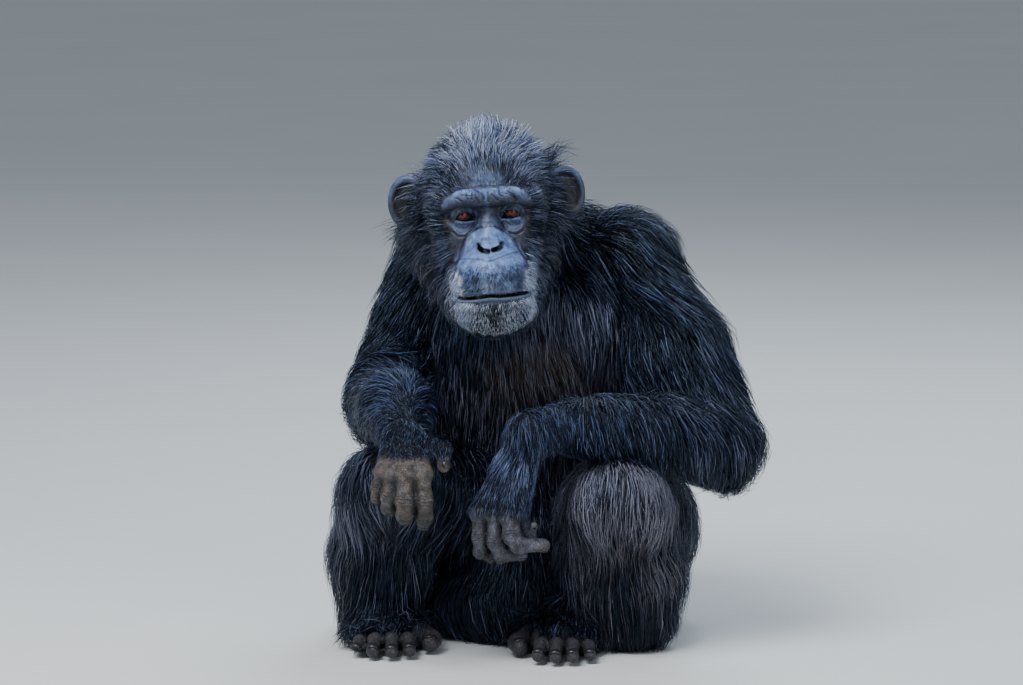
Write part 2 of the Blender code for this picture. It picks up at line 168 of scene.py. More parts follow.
# Each group of shapes: name, coat region, shapes, blend inside the group, blend with the rest
GROUPS = [
    ("trunk", "trunk", [
        ("ball", (25, 146, 98), (116, 104, 90), 0),
        ("ball", (-34, 26, 44), (98, 80, 60), 0), ("ball", (-30, 36, 92), (84, 66, 96), 0),
        ("ball", (-92, 110, 300), (56, 70, 90), 0), ("ball", (-70, 70, 130), (62, 70, 60), 0),
        ("ball", (11, 125, 228), (124, 112, 124), 0), ("ball", (-2, 117, 345), (124, 106, 130), -18),
        ("ball", (12, 132, 442), (134, 74, 54), -18), ("ball", (44, 42, 372), (58, 42, 58), 0),
        ("ball", (-66, 68, 378), (58, 42, 58), 0), ("ball", (90, 88, 450), (50, 50, 40), 0),
        ("ball", (-102, 172, 460), (50, 50, 40), 0), ("cone", (-16, 108, 462), (-52, 22, 506), 64, 54),
    ], 26, 0),
    ("arm_left", "arm_left", chain(LEFT_ARM), 10, 16),
    ("arm_right", "arm_right", chain(RIGHT_ARM), 10, 16),
    ("leg_left", "leg_left", chain(LEFT_LEG) + [
        ("ball", (92, -76, 100), (60, 46, 62), 0), ("ball", (98, -76, 46), (44, 38, 40), 0)], 16, 10),
    ("leg_right", "leg_right", chain(RIGHT_LEG) + [
        ("ball", (-196, -44, 106), (48, 44, 62), 0), ("ball", (-198, -46, 44), (36, 42, 38), 0),
        ("ball", (-196, -66, 180), (38, 40, 44), 0)], 16, 10),
    ("foot_left", "foot_left", chain(LEFT_FOOT) + [("cone", (-2, -118, 18), (46, -124, 17), 17, 16)], 8, 8),
    ("foot_right", "foot_right",
     chain(RIGHT_FOOT) + [("cone", (-162, -88, 18), (-216, -86, 17), 17, 16)], 8, 8),
    ("hand_left", "hand_left", metacarpals(LEFT_WRIST, LEFT_FINGERS, 17), 8, 10),
    ("hand_right", "hand_right", metacarpals(RIGHT_WRIST, RIGHT_FINGERS, 20), 8, 10),
]
for digits, limb, names in (
    (LEFT_FINGERS, "hand_left", "finger_left"), (RIGHT_FINGERS, "hand_right", "finger_right"),
    (LEFT_TOES, "foot_left", "toe_left"), (RIGHT_TOES, "foot_right", "toe_right"),
):
    for number, digit in enumerate(digits):
        GROUPS.append((f"{names}_{number}", limb, chain(digit, 0.9, 0.9), 2.5, 1.2))
REGIONS = ["trunk", "arm_left", "arm_right", "leg_left", "leg_right", "foot_left", "foot_right",
           "hand_left", "hand_right", "head"]
HANDS_AND_FEET = ("hand_left", "hand_right", "foot_left", "foot_right")


# Distance fields of the flesh

def within(region, *names):
    """Which points belong to the named regions."""
    return np.isin(region, [REGIONS.index(name) for name in names])


def ramp(value, width):
    """Nought up to zero, rising evenly to one at this width."""
    return np.clip(value / width, 0, 1)


def bell(value, width):
    """One at zero, falling off smoothly to both sides over about this width."""
    return np.exp(-((value / width) ** 2))


def cone_distance(p, a, b, ra, rb, waist=0.0):
    """Distance to a round-ended cone between two places."""
    a, run = np.array(a, float), np.array(b, float) - a
    along = np.clip((p - a) @ run / (run @ run), 0, 1)
    radius = ra + (rb - ra) * along - waist * np.sin(np.pi * along) ** 2
    return np.linalg.norm(p - a - along[:, None] * run, axis=1) - radius


def line_distance(x, z, points):
    """Distance across the front view to a line of points, and the share of the way along it."""
    best, share = np.full(len(x), FAR), np.zeros(len(x))
    for number, ((ax, az), (bx, bz)) in enumerate(zip(points, points[1:])):
        along = (x - ax) * (bx - ax) + (z - az) * (bz - az)
        along = np.clip(along / ((bx - ax) ** 2 + (bz - az) ** 2), 0, 1)
        gap = np.hypot(x - ax - along * (bx - ax), z - az - along * (bz - az))
        share = np.where(gap < best, (number + along) / (len(points) - 1), share)
        best = np.minimum(best, gap)
    return best, share


def ball_distance(p, centre, radii, turn=0):
    """Distance to an ellipsoid, turned by some degrees about the vertical."""
    q = p - np.array(centre, float)
    if turn:
        c, s = math.cos(math.radians(turn)), math.sin(math.radians(turn))
        q = np.stack([q[:, 0] * c + q[:, 1] * s, q[:, 1] * c - q[:, 0] * s, q[:, 2]], 1)
    r = np.array(radii, float)
    k0 = np.linalg.norm(q / r, axis=1)
    k1 = np.linalg.norm(q / (r * r), axis=1) + 1e-9
    return k0 * (k0 - 1) / k1


def blend(a, b, width):
    """The smaller of two distances, with a fillet of this width where they meet."""
    if width <= 0:
        return np.minimum(a, b)
    h = np.maximum(width - np.abs(a - b), 0) / width
    return np.minimum(a, b) - h * h * width / 4


def carve(a, b, width):
    """The field a with the shape b cut out of it."""
    return -blend(-a, b, width)


def shape_distance(p, shape):
    """Distance to one entry of the tables of shapes."""
    return (cone_distance if shape[0] == "cone" else ball_distance)(p, *shape[1:])


def shape_box(shape):
    """The two corners of a box round one shape."""
    if shape[0] == "cone":
        reach = max(shape[3], shape[4])
        ends = np.array([shape[1], shape[2]], float)
        return ends.min(0) - reach, ends.max(0) + reach
    reach = np.array(shape[2], float)
    if shape[3]:
        reach[:2] = reach[:2].max()
    return np.array(shape[1]) - reach, np.array(shape[1]) + reach


def group_box(shapes):
    """The two corners of a box round a group of shapes."""
    boxes = [shape_box(s) for s in shapes]
    return np.min([b[0] for b in boxes], 0), np.max([b[1] for b in boxes], 0)


BOXES = [group_box(g[2]) for g in GROUPS]
HEAD_BOX = (np.array((-215.0, -235.0, 370.0)), np.array((80.0, 75.0, 650.0)))


def to_head(p):
    """World places in head coordinates."""
    return (p - EYE_MIDDLE) @ HEAD_AXES


def from_head(q):
    """Head coordinates as world places."""
    return np.asarray(q, float) @ HEAD_AXES.T + EYE_MIDDLE


def front_height(q):
    """Height in the view from the front, in head coordinates: the head looks a little down."""
    return q[:, 2] * 0.974 + q[:, 1] * 0.225


def mouth_height(x):
    """Height of the closed mouth's line at each place across the face."""
    return np.interp(x, *np.array(MOUTH_LINE).T)


def lower_lid(x, up):
    """Distance from the lower lid's edge, which is nearly straight."""
    return np.hypot(x, up - LOWER_LID[0]) - LOWER_LID[1]


def lid_opening(x, up):
    """Distance to the gap between the lids, with a round upper edge."""
    return np.maximum(np.hypot(x, up + UPPER_LID[0]) - UPPER_LID[1], lower_lid(x, up))


def ear_distance(m):
    """A cupped shell with a rolled rim, in head coordinates mirrored to one side."""
    middle = np.array((91.0, 90.0, 3.0))
    across = np.array((0.94, 0.30, 0.08))
    across /= np.linalg.norm(across)
    upward = np.array((0.10, 0.06, 0.99))
    upward -= across * (upward @ across)
    upward /= np.linalg.norm(upward)
    facing = np.cross(across, upward)
    q = m - middle
    u, v, w = q @ across, q @ upward, q @ facing
    reach = np.sqrt((u / 21) ** 2 + (v / 28) ** 2) + 1e-6
    edge = (reach - 1) * 24
    cup = w + 7 * np.clip(1 - reach * reach, 0, 1) - 1.5 * np.cos(v / 7) * np.clip(reach, 0, 1)
    shell = np.maximum(np.abs(cup) - 2.9, edge)
    rim = np.sqrt(edge ** 2 + w ** 2) - 4.6
    inner = np.sqrt((np.abs(reach - 0.62) * 20) ** 2 + (cup + 2) ** 2) - 2.2
    stem = cone_distance(m, (62, 84, -4), (80, 88, -2), 16, 10)
    return blend(blend(blend(shell, rim, 3), inner, 3), stem, 8)


def head_distance(q):
    x, y, z = q[:, 0], q[:, 1], q[:, 2]
    ax = np.abs(x)
    m = np.stack([ax, y, z], 1)
    d = ball_distance(q, (1, 88, 18), (66, 80, 62))
    d = blend(d, ball_distance(q, (0, 44, 34), (50, 36, 32)), 14)
    d = blend(d, ball_distance(m, (42, 76, -2), (25, 48, 38)), 16)
    d = blend(d, cone_distance(m, (42, 62, -56), (22, 4, -106), 24, 20), 14)
    d = blend(d, ball_distance(q, (0, 62, -70), (46, 54, 40)), 14)
    face = ball_distance(m, (34, 26, -34), (25, 27, 34))
    face = blend(face, ball_distance(m, (27, 26, -26), (23, 24, 18)), 8)
    face = blend(face, ball_distance(m, (44, 29, -12), (19, 19, 14)), 8)
    face = blend(face, cone_distance(q, (0, 18, 2), (0, -4, -38), 12, 19), 9)
    face = blend(face, ball_distance(q, (1, -3, -64), (45, 57, 33)), 12)
    face = blend(face, ball_distance(q, (1, -12, -78), (46, 55, 20)), 8)
    face = blend(face, ball_distance(q, (1, -14, -94), (44, 51, 17)), 5)
    face = blend(face, ball_distance(q, (1, -8, -108), (43, 50, 27)), 8)
    # Nose: a low wide tip with wings round the nostrils
    face = blend(face, ball_distance(q, (0, -17, -36), (13, 15, 10)), 7)
    face = blend(face, ball_distance(m, (13, -14, -34), (7, 12, 8)), 5)
    d = blend(d, face, 10)
    brow = cone_distance(m, (0, 5, 20), (25, 3, 22), 11, 12)
    brow = np.minimum(brow, cone_distance(m, (25, 3, 22), (44, 12, 17), 12, 11))
    brow = blend(brow, cone_distance(m, (44, 12, 17), (56, 30, 3), 11, 9), 6)
    d = blend(d, brow, 6)
    # Lids over the eyeball, open in a dome with a nearly straight lower edge
    eye = np.array((EYE_SIDE, EYE_DEPTH, 0))
    lids = np.linalg.norm(m - eye, axis=1) - (EYE_RADIUS + 2.2)
    d = blend(d, lids, 4)
    up = front_height(q)
    near = np.flatnonzero((ax < 60) & (y < 34) & (np.abs(d) < 16) & (up < 42) & (up > -112))
    nx, ny, nu, nd = x[near], y[near], up[near], d[near]
    fx, fu = ax[near] - EYE_SIDE, nu
    lid = np.hypot(fx / 12.2, fu / 8.6)
    nd = nd + 1.2 * ramp(fu, 3) * bell((lid - 1.02) * 9, 0.9)
    nd = nd - 0.5 * ramp(fu, 3) * bell((lid - 0.84) * 9, 0.8)
    nd = nd + 0.6 * ramp(fu, 4) * bell((lid - 1.34) * 9, 0.9)
    bag = np.hypot(fx + 1, fu + 6.5)
    nd = nd - 0.8 * bell(bag - 14, 2.4) * ramp(-fu - 7, 4)
    under = ramp(-fu - 8, 3) * ramp(15 - bag, 2)
    nd = nd + 0.35 * under * np.sin(bag * 2.1 + 0.8 * waves(q[near], 7, 15))
    for depth, width, points in FACE_LINES:
        gap = line_distance(nx, nu, points)[0]
        nd = nd + depth * bell(gap, width)
        nd = nd - 0.28 * depth * bell(gap - 2.2 * width, width)
    # Lips: a low roll above the mouth, and a clear band below it
    gap, share = line_distance(nx, nu, MOUTH_LINE)
    side = np.where(nu > mouth_height(nx), gap, -gap)
    lips = ramp(50 - np.abs(nx), 6)
    nd = nd - lips * (1.9 * bell(side + 3.4, 2.0) - 0.9 * bell(side + 7.0, 1.3))
    nd = nd - lips * 0.7 * bell(side - 3.0, 1.6)
    rim = lower_lid(fx + LID_SHIFT, nu) - 1.2
    nd = nd - 0.7 * bell(rim, 0.9) * ramp(13 - np.abs(fx + LID_SHIFT), 2) * (nu < 0)
    nd = nd + 0.35 * waves(q[near], 4.5, 11) + 0.3 * waves(q[near], 9, 12)
    opening = np.interp(share, [0, 0.12, 0.45, 0.75, 0.9, 1], [0.5, 1.3, 1.8, 1.5, 1.1, 0.4])
    nd = carve(nd, np.maximum(gap - opening, -(nd + 6)), 1.0)
    for points in NOSTRILS:
        gap, share = line_distance(nx, nu, points)
        nd = carve(nd, np.maximum(gap - np.interp(share, [0, 0.4, 1], [1.0, 2.5, 2.2]), -(nd + 9)), 1.2)
    lens = lid_opening(fx + LID_SHIFT, z[near] - 0.1 * (fx + LID_SHIFT))
    nd = carve(nd, np.maximum(lens, ny - (EYE_DEPTH - 3)), 1.0)
    d[near] = nd
    # The left ear stands further out
    m[:, 0] -= np.where(x > 0, 4.0, 0.0)
    return blend(d, ear_distance(m), 3)


def body_distance(p, label=False, reach=45.0):
    """Distance in millimetres from the skin, and the region of the nearest flesh if asked."""
    total = np.full(len(p), FAR)
    nearest = np.full(len(p), FAR)
    region = np.zeros(len(p), int)

    def merge(pick, d, width, number):
        total[pick] = blend(total[pick], d, width)
        if label:
            closer = d < nearest[pick]
            index = pick[closer]
            nearest[index] = d[closer]
            region[index] = number

    for (_, limb, shapes, inner, outer), (low, high) in zip(GROUPS, BOXES):
        pick = np.flatnonzero(((p > low - reach) & (p < high + reach)).all(1))
        if len(pick):
            q = p[pick]
            d = shape_distance(q, shapes[0])
            for shape in shapes[1:]:
                d = blend(d, shape_distance(q, shape), inner)
            merge(pick, d, outer, REGIONS.index(limb))
    pick = np.flatnonzero(((p > HEAD_BOX[0]) & (p < HEAD_BOX[1])).all(1))
    if len(pick):
        merge(pick, head_distance(to_head(p[pick])), 9, REGIONS.index("head"))
    # The soles and the rump lie flat on the floor
    floor = 3.0 - p[:, 2]
    total = np.maximum(total, floor)
    return (total, region) if label else total


def in_chunks(function, p, size=60000):
    """The function's values at many points, a part at a time to save memory."""
    return np.concatenate([function(p[i:i + size]) for i in range(0, len(p), size)])


def slope(p, step=0.4):
    """Distance and outward direction of the field at each point."""
    here = in_chunks(body_distance, p)
    rise = np.stack([in_chunks(body_distance, p + np.eye(3)[k] * step) - here for k in range(3)], 1)
    length = np.linalg.norm(rise, axis=1, keepdims=True)
    return here, rise / np.maximum(length, 1e-9), length[:, 0] / step


# The skin as a mesh

def grid_lines(low, high, coarse, bands):
    """Grid coordinates with finer spacing inside each band."""
    lines, x = [], low
    while x < high:
        lines.append(x)
        fine = [s for a, b, s in bands if a <= x < b]
        x += min(fine) if fine else coarse
    return np.array(lines + [x])


def field_on_grid(xs, ys, zs):
    """The body's distance field at each corner of the grid."""
    values = np.empty((len(xs), len(ys), len(zs)), np.float32)
    yy, zz = np.meshgrid(ys, zs, indexing="ij")
    flat = np.stack([np.zeros(yy.size), yy.ravel(), zz.ravel()], 1)
    for i, x in enumerate(xs):
        flat[:, 0] = x
        values[i] = body_distance(flat, reach=14.0).reshape(yy.shape)
    return values


def surface_net(values, xs, ys, zs):
    """One vertex in each grid cell that the surface crosses, joined across the crossed edges."""
    lines = (xs, ys, zs)
    shape = tuple(n - 1 for n in values.shape)
    total, count = np.zeros((3, np.prod(shape))), np.zeros(np.prod(shape))
    crossings = []
    for axis in range(3):
        low = [slice(None)] * 3
        high = [slice(None)] * 3
        low[axis], high[axis] = slice(None, -1), slice(1, None)
        a, b = values[tuple(low)], values[tuple(high)]
        where = np.argwhere((a < 0) != (b < 0))
        va, vb = a[tuple(where.T)], b[tuple(where.T)]
        t = va / (va - vb)
        point = np.stack([lines[k][where[:, k]] for k in range(3)], 1)
        point[:, axis] += t * (lines[axis][where[:, axis] + 1] - lines[axis][where[:, axis]])
        others = [k for k in range(3) if k != axis]
        around = []
        for da, db in ((1, 1), (0, 1), (0, 0), (1, 0)):
            cell = where.copy()
            cell[:, others[0]] -= da
            cell[:, others[1]] -= db
            flat = np.ravel_multi_index(np.clip(cell, 0, np.array(shape) - 1).T, shape)
            around.append(flat)
            for k in range(3):
                total[k] += np.bincount(flat, point[:, k], total.shape[1])
            count += np.bincount(flat, minlength=total.shape[1])
        quad = np.stack(around, 1)
        flip = (va < 0) == (axis == 1)
        quad[flip] = quad[flip][:, ::-1]
        crossings.append(quad)
    quads = np.concatenate(crossings)
    used = np.flatnonzero(count)
    index = np.full(len(count), -1)
    index[used] = np.arange(len(used))
    verts = (total[:, used] / count[used]).T
    quads = index[quads]
    tris = np.concatenate([quads[:, [0, 1, 2]], quads[:, [0, 2, 3]]])
    return verts, tris


def keep_body(verts, tris):
    """Drop stray islands, and return the largest connected surface."""
    label = np.arange(len(verts))
    while True:
        low = label[tris].min(1)
        new = label.copy()
        np.minimum.at(new, tris.ravel(), np.repeat(low, 3))
        new = new[new]
        if (new == label).all():
            break
        label = new
    names, sizes = np.unique(label[tris[:, 0]], return_counts=True)
    keep = tris[label[tris[:, 0]] == names[sizes.argmax()]]
    used = np.unique(keep)
    index = np.full(len(verts), -1)
    index[used] = np.arange(len(used))
    return verts[used], index[keep]


def split_long(verts, tris, target):
    """Halve each edge that is longer than the target length at its middle, with no cracks."""
    edges = np.sort(tris[:, [0, 1, 1, 2, 2, 0]].reshape(-1, 2), 1)
    unique, back = np.unique(edges, axis=0, return_inverse=True)
    middle = verts[unique].mean(1)
    length = np.linalg.norm(verts[unique[:, 0]] - verts[unique[:, 1]], axis=1)
    cut = length > target(middle)
    number = np.full(len(unique), -1)
    number[cut] = len(verts) + np.arange(cut.sum())
    verts = np.concatenate([verts, middle[cut]])
    mids = number[back.reshape(-1, 3)]
    out = []
    code = (mids >= 0) @ np.array((1, 2, 4))
    a, b, c = tris.T
    ab, bc, ca = mids.T
    corner = {1: (a, b, c, ab, bc, ca), 2: (b, c, a, bc, ca, ab), 4: (c, a, b, ca, ab, bc)}
    out.append(tris[code == 0])
    for key, (p, q, r, pq, qr, rp) in corner.items():
        one = code == key
        out += [np.stack([p, pq, r], 1)[one], np.stack([pq, q, r], 1)[one]]
        # The two cut edges meet at the corner r
        two = code == 7 - key
        out += [np.stack([qr, r, rp], 1)[two], np.stack([p, q, qr], 1)[two],
                np.stack([p, qr, rp], 1)[two]]
    three = code == 7
    out += [np.stack(t, 1)[three] for t in ((a, ab, ca), (b, bc, ab), (c, ca, bc), (ab, bc, ca))]
    return verts, np.concatenate(out)


def relax(verts, tris, share, rounds=1):
    """Move each vertex part of the way to the mean of its neighbours."""
    pairs = np.concatenate([tris[:, [0, 1]], tris[:, [1, 2]], tris[:, [2, 0]]])
    pairs = np.concatenate([pairs, pairs[:, ::-1]])
    count = np.bincount(pairs[:, 0], minlength=len(verts))
    for _ in range(rounds):
        mean = np.stack([np.bincount(pairs[:, 0], verts[pairs[:, 1], k], len(verts)) for k in range(3)], 1)
        mean /= np.maximum(count, 1)[:, None]
        verts = verts + (mean - verts) * share
    return verts


def settle(verts, rounds=2, most=3.0):
    """Move vertices on to the skin along the slope of the field."""
    for _ in range(rounds):
        here, out, steep = slope(verts)
        move = np.clip(here / np.maximum(steep, 0.3), -most, most)
        verts = verts - out * move[:, None]
    return verts


def detail(p):
    """The edge length that the skin needs at a point: finest at eyes, nose and mouth."""
    q = to_head(p)
    ax, y, up = np.abs(q[:, 0]), q[:, 1], front_height(q)
    size = np.full(len(p), 22.0)
    face = (ax < 60) & (y < 34) & (up > -136) & (up < 46)
    size[face] = 3.6
    middle = face & (ax < 48) & (up < 36) & (up > -102) & (y < 22)
    size[middle] = 2.1
    mouth = np.abs(up - mouth_height(q[:, 0])) < 5.5
    nose = np.hypot(q[:, 0], up + 38) < 16
    eyes = np.hypot(ax - EYE_SIDE + 1, up + 4) < 17
    brow = (up > 14) & (ax < 40)
    size[middle & (eyes | brow)] = 1.6
    size[middle & (mouth | nose)] = 1.35
    size[middle & (np.hypot(ax - EYE_SIDE + 2, (up + 1) * 1.3) < 13)] = 1.05
    ears = (ax > 62) & (ax < 125) & (np.abs(y - 90) < 28) & (np.abs(q[:, 2]) < 42)
    size[ears] = 4.5
    for low, high in (((-95, -225, 118), (15, -125, 210)), ((-220, -275, 172), (-105, -200, 262))):
        size[((p > low) & (p < high)).all(1)] = 3.6
    feet = (p[:, 2] < 42) & (p[:, 1] < -75)
    size[feet] = np.minimum(size[feet], 4.6)
    return size


def grow_skin():
    """The skin's vertices and triangles, refined where the face and hands need it."""
    xs = grid_lines(-300, 300, 13.0, [(-128, -8, 4.0), (-180, -135, 4.0), (5, 50, 4.0), (-215, 15, 6.0)])
    ys = grid_lines(-300, 300, 13.0,
                    [(-228, -118, 4.0), (-82, -30, 5.0), (-265, -130, 6.0), (-130, -60, 10.0)])
    zs = grid_lines(-8, 680, 13.0, [(395, 560, 4.5), (495, 578, 4.5), (125, 285, 6.5), (-8, 45, 6.5)])
    values = field_on_grid(xs, ys, zs)
    verts, tris = keep_body(*surface_net(values, xs, ys, zs))
    verts = settle(relax(verts, tris, 0.5, 2), 1)
    for _ in range(4):
        verts, tris = split_long(verts, tris, detail)
        verts = settle(relax(verts, tris, 0.35), 1)
    return settle(verts, 1, 1.0), tris


# Meshes and materials

def make_mesh(name, verts, tris, material, attributes=(), uv=None):
    """Make an object from triangles in millimetres, with values for each vertex."""
    mesh = bpy.data.meshes.new(name)
    mesh.vertices.add(len(verts))
    mesh.vertices.foreach_set("co", (np.asarray(verts, np.float32) * MM).ravel())
    mesh.loops.add(tris.size)
    mesh.loops.foreach_set("vertex_index", tris.astype(np.int32).ravel())
    mesh.polygons.add(len(tris))
    mesh.polygons.foreach_set("loop_start", np.arange(0, tris.size, 3, dtype=np.int32))
    mesh.polygons.foreach_set("use_smooth", np.ones(len(tris), bool))
    mesh.update(calc_edges=True)
    for label, values in dict(attributes).items():
        layer = mesh.attributes.new(label, "FLOAT", "POINT")
        layer.data.foreach_set("value", np.asarray(values, np.float32))
    if uv is not None:
        layer = mesh.uv_layers.new(name="OFBake")
        layer.data.foreach_set("uv", np.asarray(uv, np.float32)[tris.ravel()].ravel())
    mesh.materials.append(material)
    piece = bpy.data.objects.new(name, mesh)
    bpy.context.scene.collection.objects.link(piece)
    return piece


def linear(hex_colour):
    """A hex sRGB colour as the linear red, green, blue and alpha that nodes take."""
    parts = [int(hex_colour[i:i + 2], 16) / 255 for i in (1, 3, 5)]
    return (*[c / 12.92 if c <= 0.04045 else ((c + 0.055) / 1.055) ** 2.4 for c in parts], 1.0)


def node(tree, kind, settings=None, inputs=None, output=0):
    """Add a node, set its options, fill or link its inputs, and return one of its outputs."""
    made = tree.nodes.new(kind)
    for key, value in (settings or {}).items():
        setattr(made, key, value)
    for key, value in (inputs or {}).items():
        if isinstance(value, bpy.types.NodeSocket):
            tree.links.new(value, made.inputs[key])
        else:
            made.inputs[key].default_value = value
    return made.outputs[output] if made.outputs else made


def new_material(name):
    """A new material, its node tree and its shader."""
    material = bpy.data.materials.new(name)
    material.use_nodes = True
    return material, material.node_tree, material.node_tree.nodes["Principled BSDF"]


MIX, COLOUR = "ShaderNodeMix", {"data_type": "RGBA"}
NOISE, MATH, RANGE, BUMP = "ShaderNodeTexNoise", "ShaderNodeMath", "ShaderNodeMapRange", "ShaderNodeBump"
CELLS, EDGES = "ShaderNodeTexVoronoi", {"feature": "DISTANCE_TO_EDGE"}
TIMES, PLUS = {"operation": "MULTIPLY"}, {"operation": "ADD"}
PER_MM = 1 / MM
# The dark of scratches, of painted shade in creases, of dirt specks, of painted shade in folds, and of hair
# roots
HATCH_DARK, CREASE_SHADE_DARK, DIRT_DARK, PAINTED_SHADE_DARK, ROOT_DARK = (
    linear(tone) for tone in ("#262a38", "#0c0c0e", "#15161c", "#07070a", "#030304"))


def skin_material(settings):
    """Bare skin of face, hands and feet: dry, matt to satin, with fine creases and pores, painted shade in
    creases and folds, and painted light and sheen on brow, muzzle and ears.
    """
    material, t, shader = new_material("dry_creased_skin")
    place = node(t, "ShaderNodeTexCoord", output="Object")
    bare, light, palm, painted_shade, lip, knuckle, finger, hatch, foot, chest, cool = (
        node(t, "ShaderNodeAttribute", {"attribute_name": name}, output="Fac")
        for name in ("bare", "light", "palm", "painted_shade", "lip", "knuckle", "finger", "hatch", "foot", "chest",
                     "cool"))
    # Mottling about 8 mm across, grain about 2 mm across, and upright streaks 2 mm wide
    mottle = node(t, NOISE, None, {"Vector": place, "Scale": PER_MM / 8, "Detail": 4.0})
    grain = node(t, NOISE, None, {"Vector": place, "Scale": PER_MM / 2.0, "Detail": 4.0})
    upright = node(t, "ShaderNodeMapping", None, {"Vector": place, "Scale": (1.0, 1.0, 0.14)})
    streaks = node(t, NOISE, None, {"Vector": upright, "Scale": PER_MM / 2.0, "Detail": 3.0})
    patch = node(t, RANGE, None, {"Value": mottle, "From Min": 0.35, "From Max": 0.68})
    dark_face = node(t, MIX, COLOUR, {0: patch, 6: settings.face_dark, 7: settings.face_light}, 2)
    muzzle = node(t, MIX, COLOUR, {0: patch, 6: settings.muzzle_dark, 7: settings.muzzle}, 2)
    # Paler skin of muzzle, brow, lids and ears, with painted sheen on the muzzle, painted light on the
    # brow's top and painted highlight on the ear rims
    face = node(t, MIX, COLOUR, {0: light, 6: dark_face, 7: muzzle}, 2)
    lines = node(t, RANGE, None, {"Value": streaks, "From Min": 0.44, "From Max": 0.66})
    lines = node(t, MATH, TIMES, {0: lines, 1: hatch})
    lines = node(t, MATH, TIMES, {0: lines, 1: 0.55})
    face = node(t, MIX, COLOUR, {0: lines, 6: face, 7: HATCH_DARK}, 2)
    face = node(t, MIX, COLOUR, {0: lip, 6: face, 7: settings.lip}, 2)
    # Creases across fingers and toes about 5 mm apart, deepest at the joints
    sway = node(t, NOISE, None, {"Vector": place, "Scale": PER_MM / 8, "Detail": 2.0})
    phase = node(t, MATH, PLUS, {0: node(t, MATH, TIMES, {0: finger, 1: 1.7}),
                                 1: node(t, MATH, TIMES, {0: sway, 1: 16.0})})
    wave = node(t, MATH, {"operation": "SINE"}, {0: phase})
    crease = node(t, RANGE, None, {"Value": wave, "From Min": 0.45, "From Max": 1.0})
    crease = node(t, MATH, TIMES, {0: crease, 1: node(t, MATH, PLUS, {0: knuckle, 1: 0.35})})
    # A net of fine wrinkles on the backs of the hands, about 2.6 mm across
    net = node(t, CELLS, EDGES, {"Vector": place, "Scale": PER_MM / 2.6}, "Distance")
    net = node(t, RANGE, None, {"Value": net, "From Max": 0.14, "To Min": 1.0, "To Max": 0.0})
    net = node(t, MATH, TIMES, {0: net, 1: 0.6})
    marks = node(t, MATH, {"operation": "MAXIMUM"}, {0: crease, 1: net})
    broad = node(t, NOISE, None, {"Vector": place, "Scale": PER_MM / 22, "Detail": 2.0})
    broad = node(t, RANGE, None, {"Value": broad, "From Min": 0.35, "From Max": 0.65})
    broad = node(t, MATH, {"operation": "MULTIPLY_ADD"}, {0: broad, 1: 0.4, 2: cool})
    lit = node(t, MIX, COLOUR, {0: broad, 6: settings.hand_light, 7: settings.hand_cool}, 2)
    patch = node(t, RANGE, None, {"Value": patch, "To Min": 0.15, "To Max": 0.95})
    hand = node(t, MIX, COLOUR, {0: patch, 6: settings.hand_dark, 7: lit}, 2)
    # Painted shade in the creases and the net of wrinkles
    crease_shade = node(t, MATH, TIMES, {0: marks, 1: 0.85})
    hand = node(t, MIX, COLOUR, {0: crease_shade, 6: hand, 7: CREASE_SHADE_DARK}, 2)
    hand = node(t, MIX, COLOUR, {0: foot, 6: hand, 7: settings.foot}, 2)
    colour = node(t, MIX, COLOUR, {0: palm, 6: face, 7: hand}, 2)
    specks = node(t, RANGE, None, {"Value": grain, "From Min": 0.45, "From Max": 0.65, "To Max": 0.4})
    colour = node(t, MIX, COLOUR, {0: specks, 6: colour, 7: DIRT_DARK}, 2)
    # Painted shade: dark in folds, creases, nostrils, the mouth's slit, under the brow, in the ears'
    # hollows, between fingers and under curled fingers
    shade_in_folds = node(t, MATH, TIMES, {0: painted_shade, 1: 0.88})
    colour = node(t, MIX, COLOUR, {0: shade_in_folds, 6: colour, 7: PAINTED_SHADE_DARK}, 2)
    under = node(t, MIX, COLOUR, {0: chest, 6: settings.under_coat, 7: settings.chest}, 2)
    colour = node(t, MIX, COLOUR, {0: bare, 6: under, 7: colour}, 2)
    pores = node(t, CELLS, EDGES, {"Vector": place, "Scale": PER_MM / 1.5}, "Distance")
    hand_marks = node(t, MATH, TIMES, {0: marks, 1: palm})
    relief = node(t, BUMP, {"invert": True}, {"Height": hand_marks, "Distance": 1.1 * MM, "Strength": 0.9})
    for height, deep, strength in (
        (mottle, 1.4, 0.5), (streaks, 0.9, 0.5), (pores, 0.4, 0.5), (grain, 0.7, 0.6),
    ):
        relief = node(t, BUMP, None, {
            "Height": height, "Distance": deep * MM, "Strength": strength, "Normal": relief})
    gloss = node(t, RANGE, None, {"Value": grain, "To Min": 0.38, "To Max": 0.62})
    for name, value in (("Base Color", colour), ("Roughness", gloss), ("Normal", relief)):
        t.links.new(value, shader.inputs[name])
    return material


